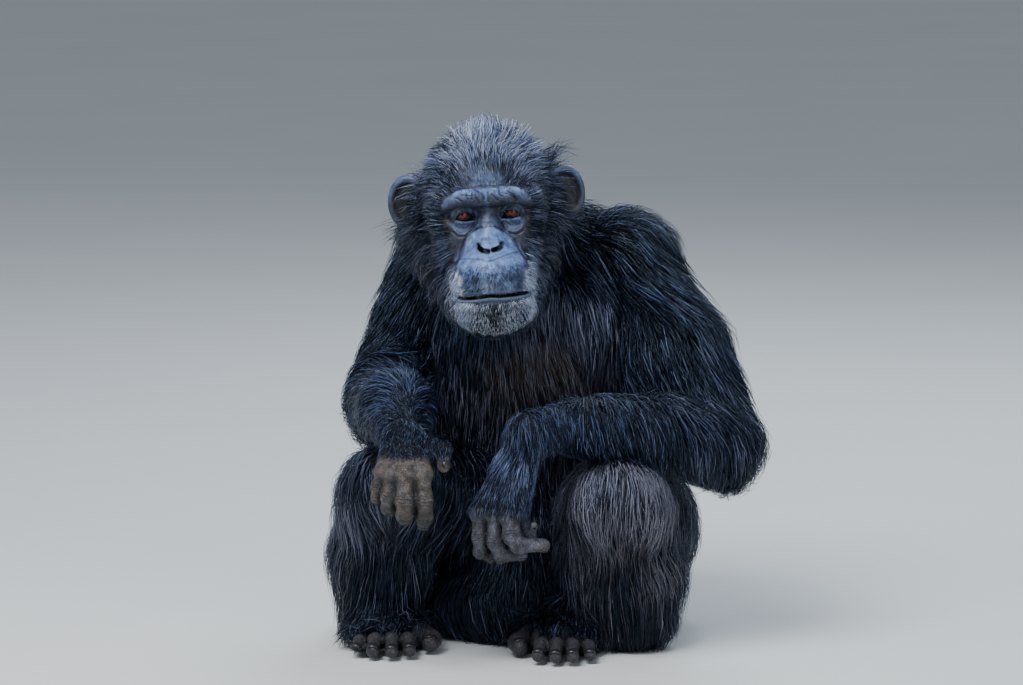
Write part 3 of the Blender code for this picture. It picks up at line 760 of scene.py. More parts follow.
def hair_material(settings):
    """Glossy hair: black, with single blue-grey hairs that are painted blue sheen, brown or white hairs,
    and darker at the root.
    """
    material, t, shader = new_material("glossy_hair")
    grey, shade, warm, along = (
        node(t, "ShaderNodeAttribute", {"attribute_name": name}, output="Fac")
        for name in ("grey", "shade", "warm", "along"))
    black = node(t, MIX, COLOUR, {0: shade, 6: settings.black, 7: settings.black_light}, 2)
    pale = node(t, MIX, COLOUR, {0: warm, 6: settings.painted_blue_sheen, 7: settings.brown}, 2)
    half = node(t, MATH, TIMES, {0: shade, 1: 0.6})
    pale = node(t, MIX, COLOUR, {0: half, 6: pale, 7: settings.grey}, 2)
    # The first half of the grey value mixes black to pale, the second half pale to white
    first = node(t, RANGE, None, {"Value": grey, "From Max": 0.5})
    second = node(t, RANGE, None, {"Value": grey, "From Min": 0.5})
    dull = node(t, RANGE, None, {"Value": shade, "To Min": 1.0, "To Max": 0.78})
    second = node(t, MATH, TIMES, {0: second, 1: dull})
    colour = node(t, MIX, COLOUR, {0: first, 6: black, 7: pale}, 2)
    colour = node(t, MIX, COLOUR, {0: second, 6: colour, 7: settings.white}, 2)
    root = node(t, RANGE, None, {"Value": along, "From Max": 0.5, "To Min": 0.6, "To Max": 0.0})
    dark = node(t, RANGE, None, {"Value": grey, "To Min": 1.0, "To Max": 0.2})
    root = node(t, MATH, TIMES, {0: root, 1: dark})
    colour = node(t, MIX, COLOUR, {0: root, 6: colour, 7: ROOT_DARK}, 2)
    gloss = node(t, RANGE, None, {"Value": shade, "To Min": 0.28, "To Max": 0.42})
    t.links.new(colour, shader.inputs["Base Color"])
    t.links.new(gloss, shader.inputs["Roughness"])
    shader.inputs["Specular IOR Level"].default_value = 0.6
    shader.inputs["Specular Tint"].default_value = (0.52, 0.70, 1.0, 1.0)
    return material


def eye_material(settings):
    """A wet eyeball: black pupil, amber iris with fine rays, dark rim and dark brown white."""
    material, t, shader = new_material("wet_eyeball")
    ring, ray = (node(t, "ShaderNodeAttribute", {"attribute_name": name}, output="Fac")
                 for name in ("from_pupil", "ray"))
    rays = node(t, NOISE, {"noise_dimensions": "1D"}, {"W": ray, "Scale": 8.0, "Detail": 4.0})
    rays = node(t, RANGE, None, {"Value": rays, "From Min": 0.35, "From Max": 0.65})
    colour = node(t, MIX, COLOUR, {0: rays, 6: settings.iris_dark, 7: settings.iris}, 2)
    pupil = node(t, RANGE, None, {"Value": ring, "From Min": 0.5, "From Max": 1.5})
    colour = node(t, MIX, COLOUR, {0: pupil, 6: linear("#120401"), 7: colour}, 2)
    rim = node(t, RANGE, None, {"Value": ring, "From Min": 4.2, "From Max": 5.3})
    colour = node(t, MIX, COLOUR, {0: rim, 6: colour, 7: settings.eye_white}, 2)
    t.links.new(colour, shader.inputs["Base Color"])
    shader.inputs["Roughness"].default_value = 0.18
    shader.inputs["Specular IOR Level"].default_value = 0.2
    shader.inputs["Coat Weight"].default_value = 0.15
    shader.inputs["Coat Roughness"].default_value = 0.04
    return material


def nail_material():
    """Horn of the nails: dark grey, satin, with faint ridges about 0.8 mm apart."""
    material, t, shader = new_material("dark_horn_nail")
    place = node(t, "ShaderNodeTexCoord", output="Object")
    stain = node(t, NOISE, None, {"Vector": place, "Scale": PER_MM / 4, "Detail": 3.0})
    ridges = node(t, NOISE, None, {"Vector": place, "Scale": PER_MM / 0.8, "Detail": 2.0})
    colour = node(t, MIX, COLOUR, {0: stain, 6: linear("#151416"), 7: linear("#2e2b2c")}, 2)
    relief = node(t, BUMP, None, {"Height": ridges, "Distance": 0.15 * MM, "Strength": 0.5})
    t.links.new(colour, shader.inputs["Base Color"])
    t.links.new(relief, shader.inputs["Normal"])
    shader.inputs["Roughness"].default_value = 0.32
    return material


def floor_material():
    """Matt pale studio paper."""
    material, t, shader = new_material("pale_studio_paper")
    place = node(t, "ShaderNodeTexCoord", output="Object")
    cloud = node(t, NOISE, None, {"Vector": place, "Scale": PER_MM / 400})
    colour = node(t, MIX, COLOUR, {0: cloud, 6: linear("#d2d2cf"), 7: linear("#d9d9d6")}, 2)
    t.links.new(colour, shader.inputs["Base Color"])
    shader.inputs["Roughness"].default_value = 0.85
    return material


# Where the skin is bare, and how the coat lies

def bare_masks(verts, region):
    """For each vertex: bare skin, pale skin with painted light and sheen, hand or foot, the painted shade
    in folds, and the lips.
    """
    q = to_head(verts)
    x, y, z = np.abs(q[:, 0]), q[:, 1], q[:, 2]
    up = front_height(q)
    head = within(region, "head")
    side = np.interp(up, [-103, -99, -97, -91, -89, -78, -68, -56, -40, -20, 0, 10, 20, 31, 35],
                     [0, 42, 47, 46, 37, 36, 40, 44, 43, 44, 46, 54, 50, 36, 0])
    ragged = 2.5 * waves(q, 3.5, 21)
    face = head * np.clip((side + ragged - x) / 6 + 0.5, 0, 1) * ramp(40 - y, 8)
    forehead = head * 0.85 * np.exp(-((x / 30) ** 2) - (((up - 42) / 14) ** 2)) * (y < 44)
    ears = head * ramp(x - 70, 8) * (np.abs(z - 3) < 40)
    # The muzzle's pale blue-grey skin: partly the skin's own paler colour, partly painted blue sheen; it is
    # darker towards the mouth
    shield = np.interp(up, [-80, -66, -50, -34, -22, -16, -13], [42, 46, 38, 31, 24, 14, 0])
    light = head * np.clip((shield + ragged - x) / 10 + 0.4, 0, 1) * (up > -91)
    light = light * (1 - 0.66 * ramp(-60 + 2 * ragged - up, 18) * ramp(54 - x, 20))
    white = head * ramp(x + ragged - 35, 12) * ramp(ragged - 56 - up, 14)
    light = np.maximum(light, 0.7 * white * ramp(up + 112, 8))
    # Painted light on the top of the brow ridge, from the line lowest upward; below it the brow keeps the
    # darker face colour
    lowest = np.interp(x, [0, 30, 45, 56], [19, 19, 13, 4]) + 0.6 * waves(q, 5, 31)
    brow = head * ramp(up - lowest, 13) * ramp(36 - up, 6) * ramp(58 - x, 12)
    bridge = head * ramp(15 - x, 8) * ramp(2 - up, 14) * (up > -18) * 0.35
    ring = np.hypot(x - EYE_SIDE + 1, up + 6.5)
    bags = head * ramp(16 - ring, 3) * ramp(-2 - up, 5) * 0.4
    lid = head * bell(lower_lid(x - EYE_SIDE + LID_SHIFT, up) - 1.3, 1.1)
    lid = lid * ramp(13 - np.abs(x - EYE_SIDE + LID_SHIFT), 2) * (up < 0)
    ear = np.hypot((x - 91 - 4 * (q[:, 0] > 0)) / 21, (z - 3) / 28)
    # Painted highlight along each ear's rim, strongest at the top
    ear_rim_highlight = ears * bell(ear - 1.08, 0.16) * np.clip((z + 4) / 24, 0.15, 1)
    ring = np.hypot((x - EYE_SIDE + 2) / 14.5, (up - 0.5) / 8.5)
    upper_lid = head * bell(ring - 0.98, 0.2) * ramp(up + 1, 3) * (y < 20)
    light = np.maximum.reduce(
        [light, brow, bridge, bags * 0.7, lid * 0.8, forehead * 0.8, ear_rim_highlight * 0.4, upper_lid * 0.3])
    light = np.clip(light, 0, 1)
    hatch = head * ramp(-56 - up, 14) * (up > -92) + head * 0.3 * (x > 18)
    # Painted shade in the face's lines, the mouth's slit and the nostrils
    painted_shade = np.zeros(len(verts))
    lip = np.zeros(len(verts))
    pick = np.flatnonzero(head & (x < 60) & (y < 34))
    px, pu = q[pick, 0], up[pick]
    for depth, width, points in FACE_LINES:
        gap = line_distance(px, pu, points)[0]
        painted_shade[pick] = np.maximum(painted_shade[pick], np.clip(depth, 0, 1) * bell(gap, width * 0.9))
    gap = line_distance(px, pu, MOUTH_LINE)[0]
    below = pu < mouth_height(px)
    painted_shade[pick] = np.maximum(painted_shade[pick], ramp(2.4 - gap, 0.8))
    lip[pick] = below * bell(gap - 4.2, 1.9) * ramp(49 - np.abs(px), 5)
    for points in NOSTRILS:
        painted_shade[pick] = np.maximum(painted_shade[pick], ramp(4.2 - line_distance(px, pu, points)[0], 1.7))
    # Painted shadow in a band under the brow ridge, over the upper lids
    brow_shadow = head * bell(up - 9, 6) * (y < 22) * (x < 50)
    # Painted shade along the upper lid's edge
    rim = np.hypot((x - EYE_SIDE + LID_SHIFT) / 11.8, (up + 0.3) / 5.6)
    rim = head * bell(rim - 1.0, 0.2) * (up > -3) * (y < 14)
    # Painted shade in each ear's hollow
    hollow = ears * ramp(1.0 - ear, 0.2) * 0.92
    painted_shade = np.maximum.reduce([painted_shade, brow_shadow * 0.55, rim * 0.6, hollow])
    left_hand, right_hand = within(region, "hand_left"), within(region, "hand_right")
    palm = 1.0 * within(region, *HANDS_AND_FEET)
    foot = 0.8 * within(region, "foot_left", "foot_right")
    across, ahead, height = verts.T
    cool = np.where(right_hand & (across < -203), 0.5, 0.6 * left_hand)
    chest = np.exp(-(((across + 22) / 60) ** 2) - (((height - 335) / 48) ** 2))
    chest = within(region, "trunk") * chest * (ahead < 60)
    left = left_hand & (height < 188)
    right = right_hand & (height < 257) & (ahead < -212)
    # The toes are bare, and so are the feet's inner sides a little further back
    feet = (palm > 0) & (height < 60) & (ahead < np.where(across > -80, -134, -108))
    feet |= (foot > 0) & (np.abs(across + 82) < 74) & (ahead < np.where(across > -80, -88, -66))
    bare = np.maximum.reduce([face, ears, forehead])
    bare[left | right | feet] = 1
    # Painted shade under the curled fingers of both hands
    curled = right_hand * ramp(206 - height, 26)
    curled += left_hand * ramp(146 - height, 20) * (across < -34)
    painted_shade = np.maximum(painted_shade, 0.55 * curled)
    return {"bare": np.clip(bare, 0, 1), "light": light, "palm": palm, "painted_shade": painted_shade, "lip": lip,
            "hatch": np.clip(hatch, 0, 1), "foot": foot, "chest": chest, "cool": cool}


def finger_lengths(verts, region):
    """For each vertex: distance along its finger or toe, nearness to a joint, and to the next digit."""
    along = np.zeros(len(verts))
    knuckle = np.zeros(len(verts))
    best = np.full(len(verts), FAR)
    nearest, second = np.full(len(verts), FAR), np.full(len(verts), FAR)
    pick = np.flatnonzero(within(region, *HANDS_AND_FEET))
    for digit in LEFT_FINGERS + RIGHT_FINGERS + LEFT_TOES + RIGHT_TOES:
        start, own = 0.0, np.full(len(pick), FAR)
        for number, ((a, ra), (b, rb)) in enumerate(zip(digit, digit[1:])):
            a, run = np.array(a, float), np.array(b, float) - a
            length = np.linalg.norm(run)
            t = np.clip((verts[pick] - a) @ run / length ** 2, -0.6 if number == 0 else 0, 1.3)
            gap = np.linalg.norm(verts[pick] - a - t[:, None] * run, axis=1) - ra - (rb - ra) * t
            own = np.minimum(own, np.where(t > 0.05, gap, FAR))
            closer = gap < best[pick]
            index = pick[closer]
            best[index] = gap[closer]
            along[index] = start + t[closer] * length
            last = number == len(digit) - 2
            near = np.minimum(np.abs(t[closer]) + (number == 0), np.abs(1 - t[closer]) + last)
            knuckle[index] = bell(near * length, 6)
            start += length
        second[pick] = np.minimum(second[pick], np.maximum(nearest[pick], own))
        nearest[pick] = np.minimum(nearest[pick], own)
    return along, knuckle, bell(np.clip(second - 1.0, 0, FAR), 4.2)


def both(marks):
    """Comb marks of the head, with their mirror images."""
    out = []
    for (x, y, z), (a, b, c), *rest in marks:
        out.append(((x, y, z), (a, b, c), *rest))
        if x:
            out.append(((-x, y, z), (-a, b, c), *rest))
    return out


# Comb marks: place, direction, hair length, depth of coat, width of tuft, how many are pale,
# how brown the pale ones are rather than blue-grey painted sheen, how thick it grows
# On the crown nearly all hairs are pale and blue-grey: painted blue sheen on the top of the head
HEAD_COMB = both([
    ((0, 14, 44), (0, 0.5, 0.9), 9, 1.2, 0.5, 0.8, 0.1, 0.5),
    ((34, 18, 44), (0.6, 0.5, 0.6), 16, 2, 0.55, 0.6, 0.4, 0.9),
    ((0, 36, 66), (0, 0.75, 0.7), 36, 4, 0.6, 0.95, 0.05, 1.1),
    ((0, 76, 82), (0, 0.6, 0.9), 60, 26, 0.62, 0.95, 0.05, 1.5),
    ((0, 56, 84), (0, 0.45, 1.0), 46, 24, 0.6, 0.98, 0.05, 1.5),
    ((26, 44, 66), (0.6, 0.6, 0.5), 44, 7, 0.56, 0.95, 0.15, 1.4),
    ((50, 66, 64), (0.9, 0.45, 0.25), 56, 20, 0.72, 0.85, 0.2, 1.2),
    ((60, 56, 32), (0.95, 0.35, 0.05), 42, 13, 0.62, 0.7, 0.3, 1.6),
    ((68, 70, 10), (0.95, 0.3, -0.2), 26, 9, 0.75, 0.35, 0.5, 1.3),
    ((56, 38, 6), (0.95, 0.35, -0.1), 36, 8, 0.6, 0.45, 0.5, 1.2),
    ((50, 30, -22), (0.9, 0.3, -0.35), 20, 3.5, 0.55, 0.14, 0.3, 1.0),
    ((62, 62, -22), (0.95, 0.2, -0.4), 70, 30, 0.9, 0.42, 0.7, 1.2),
    ((50, 36, -56), (0.9, 0.1, -0.5), 56, 22, 0.8, 0.5, 0.7, 1.2),
    ((58, 60, -66), (0.85, 0.1, -0.7), 78, 34, 1.0, 0.36, 0.7, 1.2),
    ((46, 16, -88), (0.7, 0.1, -0.85), 56, 22, 0.8, 0.4, 0.6, 1.2),
    ((30, 8, -128), (0.35, 0.1, -1.0), 50, 14, 0.9, 0.35, 0.5, 1.2),
    ((46, -10, -74), (0.75, 0.3, -0.6), 9, 3.5, 0.45, 1.0, 0.0, 1.9),
    ((38, -40, -80), (0.5, 0.2, -0.8), 5, 2, 0.42, 0.85, 0.0, 1.3),
    ((44, -24, -92), (0.6, 0.2, -0.8), 10, 4, 0.45, 1.0, 0.0, 1.8),
    ((38, -34, -108), (0.4, 0.0, -1.0), 11, 5, 0.45, 0.95, 0.0, 1.7),
    ((20, -52, -112), (0.2, -0.1, -1.0), 8, 3, 0.45, 0.55, 0.4, 1.4),
    ((0, -58, -104), (0, -0.2, -1.0), 8, 3, 0.45, 0.12, 1.0, 1.3),
    ((0, -50, -126), (0, -0.2, -1.0), 9, 4, 0.45, 0.35, 0.8, 1.3),
    ((0, 10, -134), (0, 0.1, -1.0), 55, 14, 1.1, 0.3, 0.4, 1.1),
    ((0, 60, -112), (0, 0.2, -1.0), 55, 20, 1.4, 0.1, 0.3, 1.0),
    ((0, 168, 16), (0, 0.4, -1.0), 60, 18, 1.6, 0.05, 0.3, 0.8),
    ((60, 130, 8), (0.5, 0.6, -0.6), 60, 22, 1.4, 0.15, 0.3, 0.9),
    ((54, 100, 60), (0.6, 0.7, 0.1), 55, 16, 1.0, 0.5, 0.2, 1.0),
]) + [
    ((46, 62, 72), (0.85, 0.4, 0.5), 78, 46, 0.66, 0.9, 0.1, 2.4),
    ((64, 72, 46), (0.95, 0.35, 0.25), 78, 46, 0.85, 0.45, 0.2, 2.8),
    ((6, 62, 90), (0.02, 0.1, 1.0), 60, 42, 0.62, 0.85, 0.05, 1.7),
    ((-64, 66, -30), (-0.95, 0.2, -0.35), 92, 44, 1.0, 0.42, 0.7, 1.3),
]
BODY_COMB = {
    "trunk": [
        ((-20, 96, 540), (0.3, 0.9, -0.3), 75, 22, 1.4, 0.10, 0.2, 1),
        ((70, 60, 500), (0.9, 0.1, -0.45), 90, 22, 1.4, 0.12, 0.1, 1),
        ((30, 20, 470), (0.7, -0.1, -0.8), 80, 22, 1.4, 0.15, 0.2, 1),
        ((-110, 150, 510), (-0.6, 0.1, -0.8), 85, 22, 1.5, 0.12, 0.2, 1),
        ((20, 205, 450), (0.1, 0.4, -1), 85, 22, 2.0, 0.06, 0.2, 0.8),
        ((10, 240, 320), (0, 0.1, -1), 75, 22, 2.2, 0.06, 0.2, 0.7),
        ((20, 260, 150), (0, -0.1, -1), 60, 20, 2.2, 0.08, 0.3, 0.7),
        ((30, 240, 60), (0, -0.2, -1), 40, 16, 2.2, 0.08, 0.3, 0.7),
        ((-10, -5, 420), (0.05, -0.2, -1), 60, 18, 1.1, 0.75, 0.6, 0.9),
        ((60, 0, 400), (0.15, -0.1, -1), 70, 20, 1.2, 0.7, 0.4, 1),
        ((-80, 30, 400), (-0.1, -0.1, -1), 60, 20, 1.3, 0.4, 0.2, 1),
        ((10, 5, 345), (0.2, -0.1, -1), 40, 8, 0.9, 0.7, 0.9, 0.22),
        ((-50, 10, 325), (0.15, -0.1, -1), 40, 8, 0.9, 0.7, 0.9, 0.2),
        ((0, 10, 250), (0, -0.1, -1), 55, 18, 1.4, 0.3, 0.5, 1),
        ((-30, -40, 110), (0, -0.1, -1), 85, 16, 1.2, 0.06, 0.4, 1),
        ((-30, -52, 32), (0, -0.7, -0.6), 84, 34, 1.2, 0.04, 0.4, 1.2),
        ((-110, 60, 120), (0, -0.2, -1), 80, 24, 1.6, 0.12, 0.2, 1),
        ((150, 150, 100), (0.2, 0.2, -1), 60, 20, 2.0, 0.08, 0.3, 0.8),
        ((-100, 160, 300), (-0.2, 0, -1), 70, 22, 2.0, 0.06, 0.2, 0.8),
    ],
    "arm_left": [
        ((94, 60, 450), (0.75, -0.3, -0.7), 95, 22, 1.4, 0.12, 0.1, 1),
        ((150, 0, 350), (0.5, -0.45, -0.8), 100, 24, 1.4, 0.18, 0.15, 1),
        ((212, -40, 280), (0.35, -0.1, -1), 90, 22, 1.4, 0.28, 0.5, 1),
        ((218, -62, 222), (0.25, 0.1, -1), 80, 34, 1.4, 0.30, 0.5, 1.2),
        ((160, -95, 240), (0.12, 0.0, -1), 60, 22, 1.2, 0.25, 0.4, 1.1),
        ((205, -90, 225), (0.25, 0.1, -1), 75, 20, 1.2, 0.25, 0.4, 1),
        ((160, -100, 290), (0.4, -0.1, -0.9), 80, 18, 1.2, 0.2, 0.25, 1),
        ((110, -125, 270), (0.3, -0.1, -0.9), 66, 16, 1.2, 0.2, 0.2, 1),
        ((50, -140, 281), (0.1, -0.1, -0.9), 48, 13, 1.0, 0.28, 0.1, 1),
        ((0, -160, 290), (0.15, -0.1, -0.9), 28, 7, 0.8, 0.5, 0.1, 1),
    ],
    "arm_right": [
        ((-116, 183, 458), (-0.5, -0.4, -0.9), 90, 22, 1.6, 0.08, 0.1, 1),
        ((-148, 116, 372), (-0.35, -0.5, -0.9), 85, 20, 1.5, 0.04, 0.1, 1),
        ((-195, 60, 310), (-0.7, -0.1, -0.1), 65, 16, 1.4, 0.12, 0.2, 1),
        # The forearm's many pale blue-grey hairs are painted light and sheen where the forearm is lit
        ((-178, 0, 318), (-0.45, 0.9, -0.1), 50, 13, 1.1, 0.4, 0.05, 1),
        ((-178, -62, 310), (-0.4, 0.9, -0.3), 42, 11, 1.0, 0.55, 0.05, 1),
        ((-170, -130, 292), (-0.35, 0.7, -0.6), 28, 8, 0.9, 0.5, 0.05, 1),
        ((-168, -165, 285), (-0.3, 0.5, -0.8), 20, 6, 0.8, 0.20, 0.1, 1),
        ((-140, -100, 270), (0.4, 0.5, -0.8), 36, 12, 1.1, 0.12, 0.1, 1),
        ((-210, -80, 260), (-0.5, 0.5, -0.8), 45, 12, 1.1, 0.2, 0.1, 1),
        ((-212, 10, 262), (-0.5, 0.0, -0.85), 85, 30, 1.3, 0.15, 0.2, 1.2),
    ],
    "hand_left": [
        ((-30, -168, 262), (-0.25, -0.05, -0.97), 26, 5, 0.8, 0.75, 0.1, 0.9),
        ((-60, -180, 205), (-0.1, -0.05, -0.99), 18, 3.5, 0.8, 0.4, 0.1, 0.7),
    ],
    "hand_right": [
        ((-168, -200, 285), (0, -0.6, -0.6), 20, 5, 0.9, 0.3, 0.1, 0.8),
        ((-170, -215, 262), (0, -0.3, -0.95), 8, 2.5, 0.8, 0.3, 0.1, 0.7),
    ],
    "leg_left": [
        ((110, 60, 180), (0.3, -0.3, -0.7), 70, 22, 1.6, 0.10, 0.4, 1),
        ((92, -60, 225), (0.1, -0.9, -0.2), 50, 14, 1.1, 0.45, 0.7, 1),
        ((75, -150, 232), (-0.1, -0.5, -0.85), 46, 8, 0.8, 0.75, 0.6, 1.0),
        ((105, -150, 228), (0.3, -0.4, -0.85), 52, 9, 0.8, 0.6, 0.7, 1.0),
        ((62, -172, 190), (-0.1, -0.1, -0.97), 80, 16, 0.9, 0.7, 0.75, 1.1),
        ((45, -150, 158), (-0.5, -0.15, -0.9), 90, 22, 1.0, 0.5, 0.85, 1.1),
        ((24, -128, 180), (-0.2, -0.1, -1), 90, 20, 1.0, 0.45, 0.8, 1),
        ((124, -142, 156), (0.55, -0.15, -0.85), 90, 22, 1.0, 0.55, 0.85, 1.1),
        ((112, -164, 185), (0.4, -0.05, -0.9), 90, 18, 0.9, 0.7, 0.85, 1.1),
        ((84, -165, 158), (0.22, -0.05, -0.95), 90, 16, 1.0, 0.5, 0.9, 1.0),
        ((60, -130, 120), (-0.05, -0.15, -1), 105, 24, 1.1, 0.3, 0.85, 1),
        ((132, -122, 140), (0.22, -0.05, -1), 95, 22, 1.0, 0.75, 0.85, 1.1),
        ((112, -128, 96), (0.12, -0.05, -1), 90, 22, 1.1, 0.12, 0.8, 1.0),
        ((150, -80, 110), (0.12, 0, -1), 90, 24, 1.2, 0.16, 0.7, 1),
        ((30, -70, 110), (-0.05, -0.1, -1), 90, 22, 1.4, 0.10, 0.3, 1),
        ((100, -115, 60), (0.05, -0.1, -1), 75, 20, 1.3, 0.05, 0.8, 1),
        ((170, 90, 110), (0.1, 0.1, -1), 70, 22, 1.7, 0.12, 0.5, 0.9),
    ],
    "leg_right": [
        ((-100, 60, 190), (-0.2, -0.3, -0.8), 70, 20, 1.6, 0.08, 0.3, 1),
        ((-150, -40, 220), (-0.3, -0.5, -0.7), 60, 16, 1.5, 0.12, 0.3, 1),
        ((-182, -120, 225), (0, -0.4, -0.9), 50, 10, 1.1, 0.35, 0.4, 1),
        ((-195, -135, 200), (0, -0.1, -1), 80, 14, 1.1, 0.5, 0.6, 1),
        ((-225, -70, 190), (-0.2, 0, -1), 105, 22, 1.1, 0.7, 0.6, 1.1),
        ((-225, -80, 120), (-0.1, -0.1, -1), 105, 22, 1.2, 0.12, 0.85, 1.1),
        ((-190, -100, 110), (0, -0.1, -1), 100, 22, 1.3, 0.15, 0.4, 1),
        ((-240, -40, 80), (-0.05, 0, -1), 90, 22, 1.4, 0.15, 0.8, 1),
        ((-150, -40, 90), (0.1, -0.1, -1), 95, 22, 1.4, 0.10, 0.2, 1),
        ((-200, -85, 50), (0, -0.2, -1), 65, 20, 1.4, 0.14, 0.4, 1),
    ],
    "foot_left": [((44, -10, 60), (0, -1, -0.3), 38, 9, 1.6, 0.06, 0.2, 0.7),
                  ((20, -110, 46), (-0.05, -1, -0.3), 34, 4, 1.3, 0.08, 0.2, 0.8)],
    "foot_right": [((-190, 10, 60), (0, -1, -0.3), 38, 9, 1.6, 0.06, 0.2, 0.7),
                   ((-190, -85, 46), (0, -1, -0.3), 34, 4, 1.3, 0.08, 0.2, 0.8)],
}


# A mark's weight falls with this power of its distance plus these millimetres
COMB_POWER, COMB_NEAR = 3.2, 6.0


def comb_table():
    """The marks of each region in world coordinates: places, directions and other values."""
    table = {}
    for number, name in enumerate(REGIONS):
        if name == "head":
            marks = [(from_head(p), np.array(d, float) @ HEAD_AXES.T, *rest) for p, d, *rest in HEAD_COMB]
        else:
            marks = BODY_COMB[name]
        places = np.array([m[0] for m in marks], float)
        lies = np.array([np.array(m[1], float) / np.linalg.norm(m[1]) for m in marks])
        rest = np.array([m[2:] for m in marks], float)
        table[number] = (places, lies, rest)
    return table


def comb(points, region, table):
    """Direction of the hair and its six other values at each point, blended between marks."""
    lie = np.zeros((len(points), 3))
    rest = np.zeros((len(points), 6))
    for number, (places, lies, values) in table.items():
        pick = np.flatnonzero(region == number)
        if not len(pick):
            continue
        gap = np.linalg.norm(points[pick, None] - places[None], axis=2)
        weight = 1 / (gap + COMB_NEAR) ** COMB_POWER
        weight /= weight.sum(1, keepdims=True)
        lie[pick] = weight @ lies
        rest[pick] = weight @ values
    return lie / np.maximum(np.linalg.norm(lie, axis=1, keepdims=True), 1e-6), rest


def unit(v):
    """The same directions with a length of one."""
    return v / np.maximum(np.linalg.norm(v, axis=1, keepdims=True), 1e-9)


def sample_roots(verts, tris, weight, spacing, rng):
    """Random points on the skin, about one for each cell of the given spacing squared."""
    corner = verts[tris]
    area = 0.5 * np.linalg.norm(np.cross(corner[:, 1] - corner[:, 0], corner[:, 2] - corner[:, 0]), axis=1)
    expect = area * weight / spacing ** 2
    count = np.floor(expect + rng.random(len(tris))).astype(int)
    pick = np.repeat(np.arange(len(tris)), count)
    a, b = rng.random(len(pick)), rng.random(len(pick))
    over = a + b > 1
    a[over], b[over] = 1 - a[over], 1 - b[over]
    c = corner[pick]
    return c[:, 0] * (1 - a - b)[:, None] + c[:, 1] * a[:, None] + c[:, 2] * b[:, None], pick


def waves(points, size, seed):
    """A smooth value from -1 to 1 that changes over about this many millimetres."""
    rng = np.random.default_rng(seed)
    total = np.zeros(len(points))
    for _ in range(5):
        total += np.sin(points @ rng.normal(0, 1.6 / size, 3) + rng.uniform(0, 6.28))
    return total / 3


def march(roots, out, lie, length, depth, lift, steps, rng):
    """The points of each hair: it rises to its share of the coat's depth and follows the body."""
    swing = np.radians(6) * rng.normal(0, 1, len(roots)) + np.radians(13) * waves(roots, 26, 5)
    side = unit(np.cross(out, lie))
    lie = unit(lie * np.cos(swing)[:, None] + side * np.sin(swing)[:, None])
    points = [roots - out * 0.8]
    here, normal, place = np.zeros(len(roots)), out, roots.copy()
    step = length / steps
    for number in range(steps):
        share = (number + 1) / steps
        flat = unit(lie - normal * (lie * normal).sum(1, keepdims=True))
        goal = depth * lift * (1 - (1 - share) ** 1.7)
        climb = np.clip((goal - here) / step, -0.45, 0.88)
        move = flat * np.sqrt(1 - climb ** 2)[:, None] + normal * climb[:, None]
        move[:, 2] -= 0.10 * share * ramp(length, 50)
        move = unit(move + rng.normal(0, 0.035, move.shape))
        place = place + move * step[:, None]
        place[:, 2] = np.maximum(place[:, 2], 1.0)
        points.append(place.copy())
        if number + 1 < steps:
            here, normal, _ = slope(place, 1.0)
    return points


def gather(points, spacing, pull, rng):
    """Draw neighbouring hairs together towards their tips, so they lie in locks."""
    roots = points[0]
    chosen = np.flatnonzero(rng.random(len(roots)) < 0.08)
    if not len(chosen):
        return points
    tree = kdtree.KDTree(len(chosen))
    for place, index in enumerate(chosen):
        tree.insert(Vector(roots[index]), place)
    tree.balance()
    guide = np.array([chosen[tree.find(Vector(r))[1]] for r in roots])
    near = np.linalg.norm(roots - roots[guide], axis=1) < spacing
    amount = np.where(near, pull * rng.uniform(0.3, 1.0, len(roots)), 0)
    last = len(points) - 1
    return [p + (p[guide] - p) * (amount * (k / last) ** 1.3)[:, None] for k, p in enumerate(points)]


def tufts_mesh(points, out, width, thickness=0.4):
    """Closed tapered blades with a three-sided section, ending in a tip."""
    count, last = len(points[0]), len(points) - 1
    profile = np.interp(np.linspace(0, 1, last + 1), [0, 0.35, 0.75, 1], [0.75, 1.0, 0.7, 0.0])
    rings, rows = [], []
    for k in range(last):
        ahead = unit(points[k + 1] - points[max(k - 1, 0)])
        side = unit(np.cross(out, ahead))
        up = unit(np.cross(ahead, side))
        half = (width * profile[k] / 2)[:, None]
        rings += [points[k] - side * half, points[k] + side * half, points[k] + up * half * 2 * thickness]
    verts = np.stack(rings + [points[last]], 1)
    per = 3 * last + 1
    rows.append((0, 1, 2))
    for k in range(last - 1):
        a, b = 3 * k, 3 * k + 3
        for i, j in ((0, 1), (1, 2), (2, 0)):
            rows += [(a + i, b + i, b + j), (a + i, b + j, a + j)]
    a = 3 * (last - 1)
    rows += [(a + 0, per - 1, a + 1), (a + 1, per - 1, a + 2), (a + 2, per - 1, a + 0)]
    tris = (np.arange(count)[:, None, None] * per + np.array(rows)[None]).reshape(-1, 3)
    along = np.tile(np.append(np.repeat(np.arange(last) / last, 3), 1.0), (count, 1))
    return verts.reshape(-1, 3), tris, along.ravel(), per


def face_out(verts, tris, sample=None):
    """Turn faces outward, by the sign of the volume inside them or inside the first few."""
    corner = verts[tris[:sample]]
    volume = np.einsum("ij,ij->i", corner[:, 0], np.cross(corner[:, 1], corner[:, 2])).sum()
    return tris if volume > 0 else tris[:, ::-1]


# The long axis of each region, and the size of one tuft on the unwrap
LONG_AXES = {
    "trunk": ((20, 130, 0), (0, 60, 560)), "head": ((-70, -40, 380), (-60, -60, 650)),
    "arm_left": ((94, 72, 500), (-30, -170, 250)), "arm_right": ((-116, 190, 500), (-168, -180, 260)),
    "leg_left": ((95, -30, 0), (95, -30, 260)), "leg_right": ((-160, -10, 0), (-160, -10, 260)),
    "foot_left": ((50, 60, 30), (20, -200, 20)), "foot_right": ((-190, 90, 30), (-190, -170, 20)),
    "hand_left": ((-26, -168, 280), (-60, -190, 120)),
    "hand_right": ((-168, -170, 280), (-170, -250, 180)),
}
TUFT_UV = 0.003


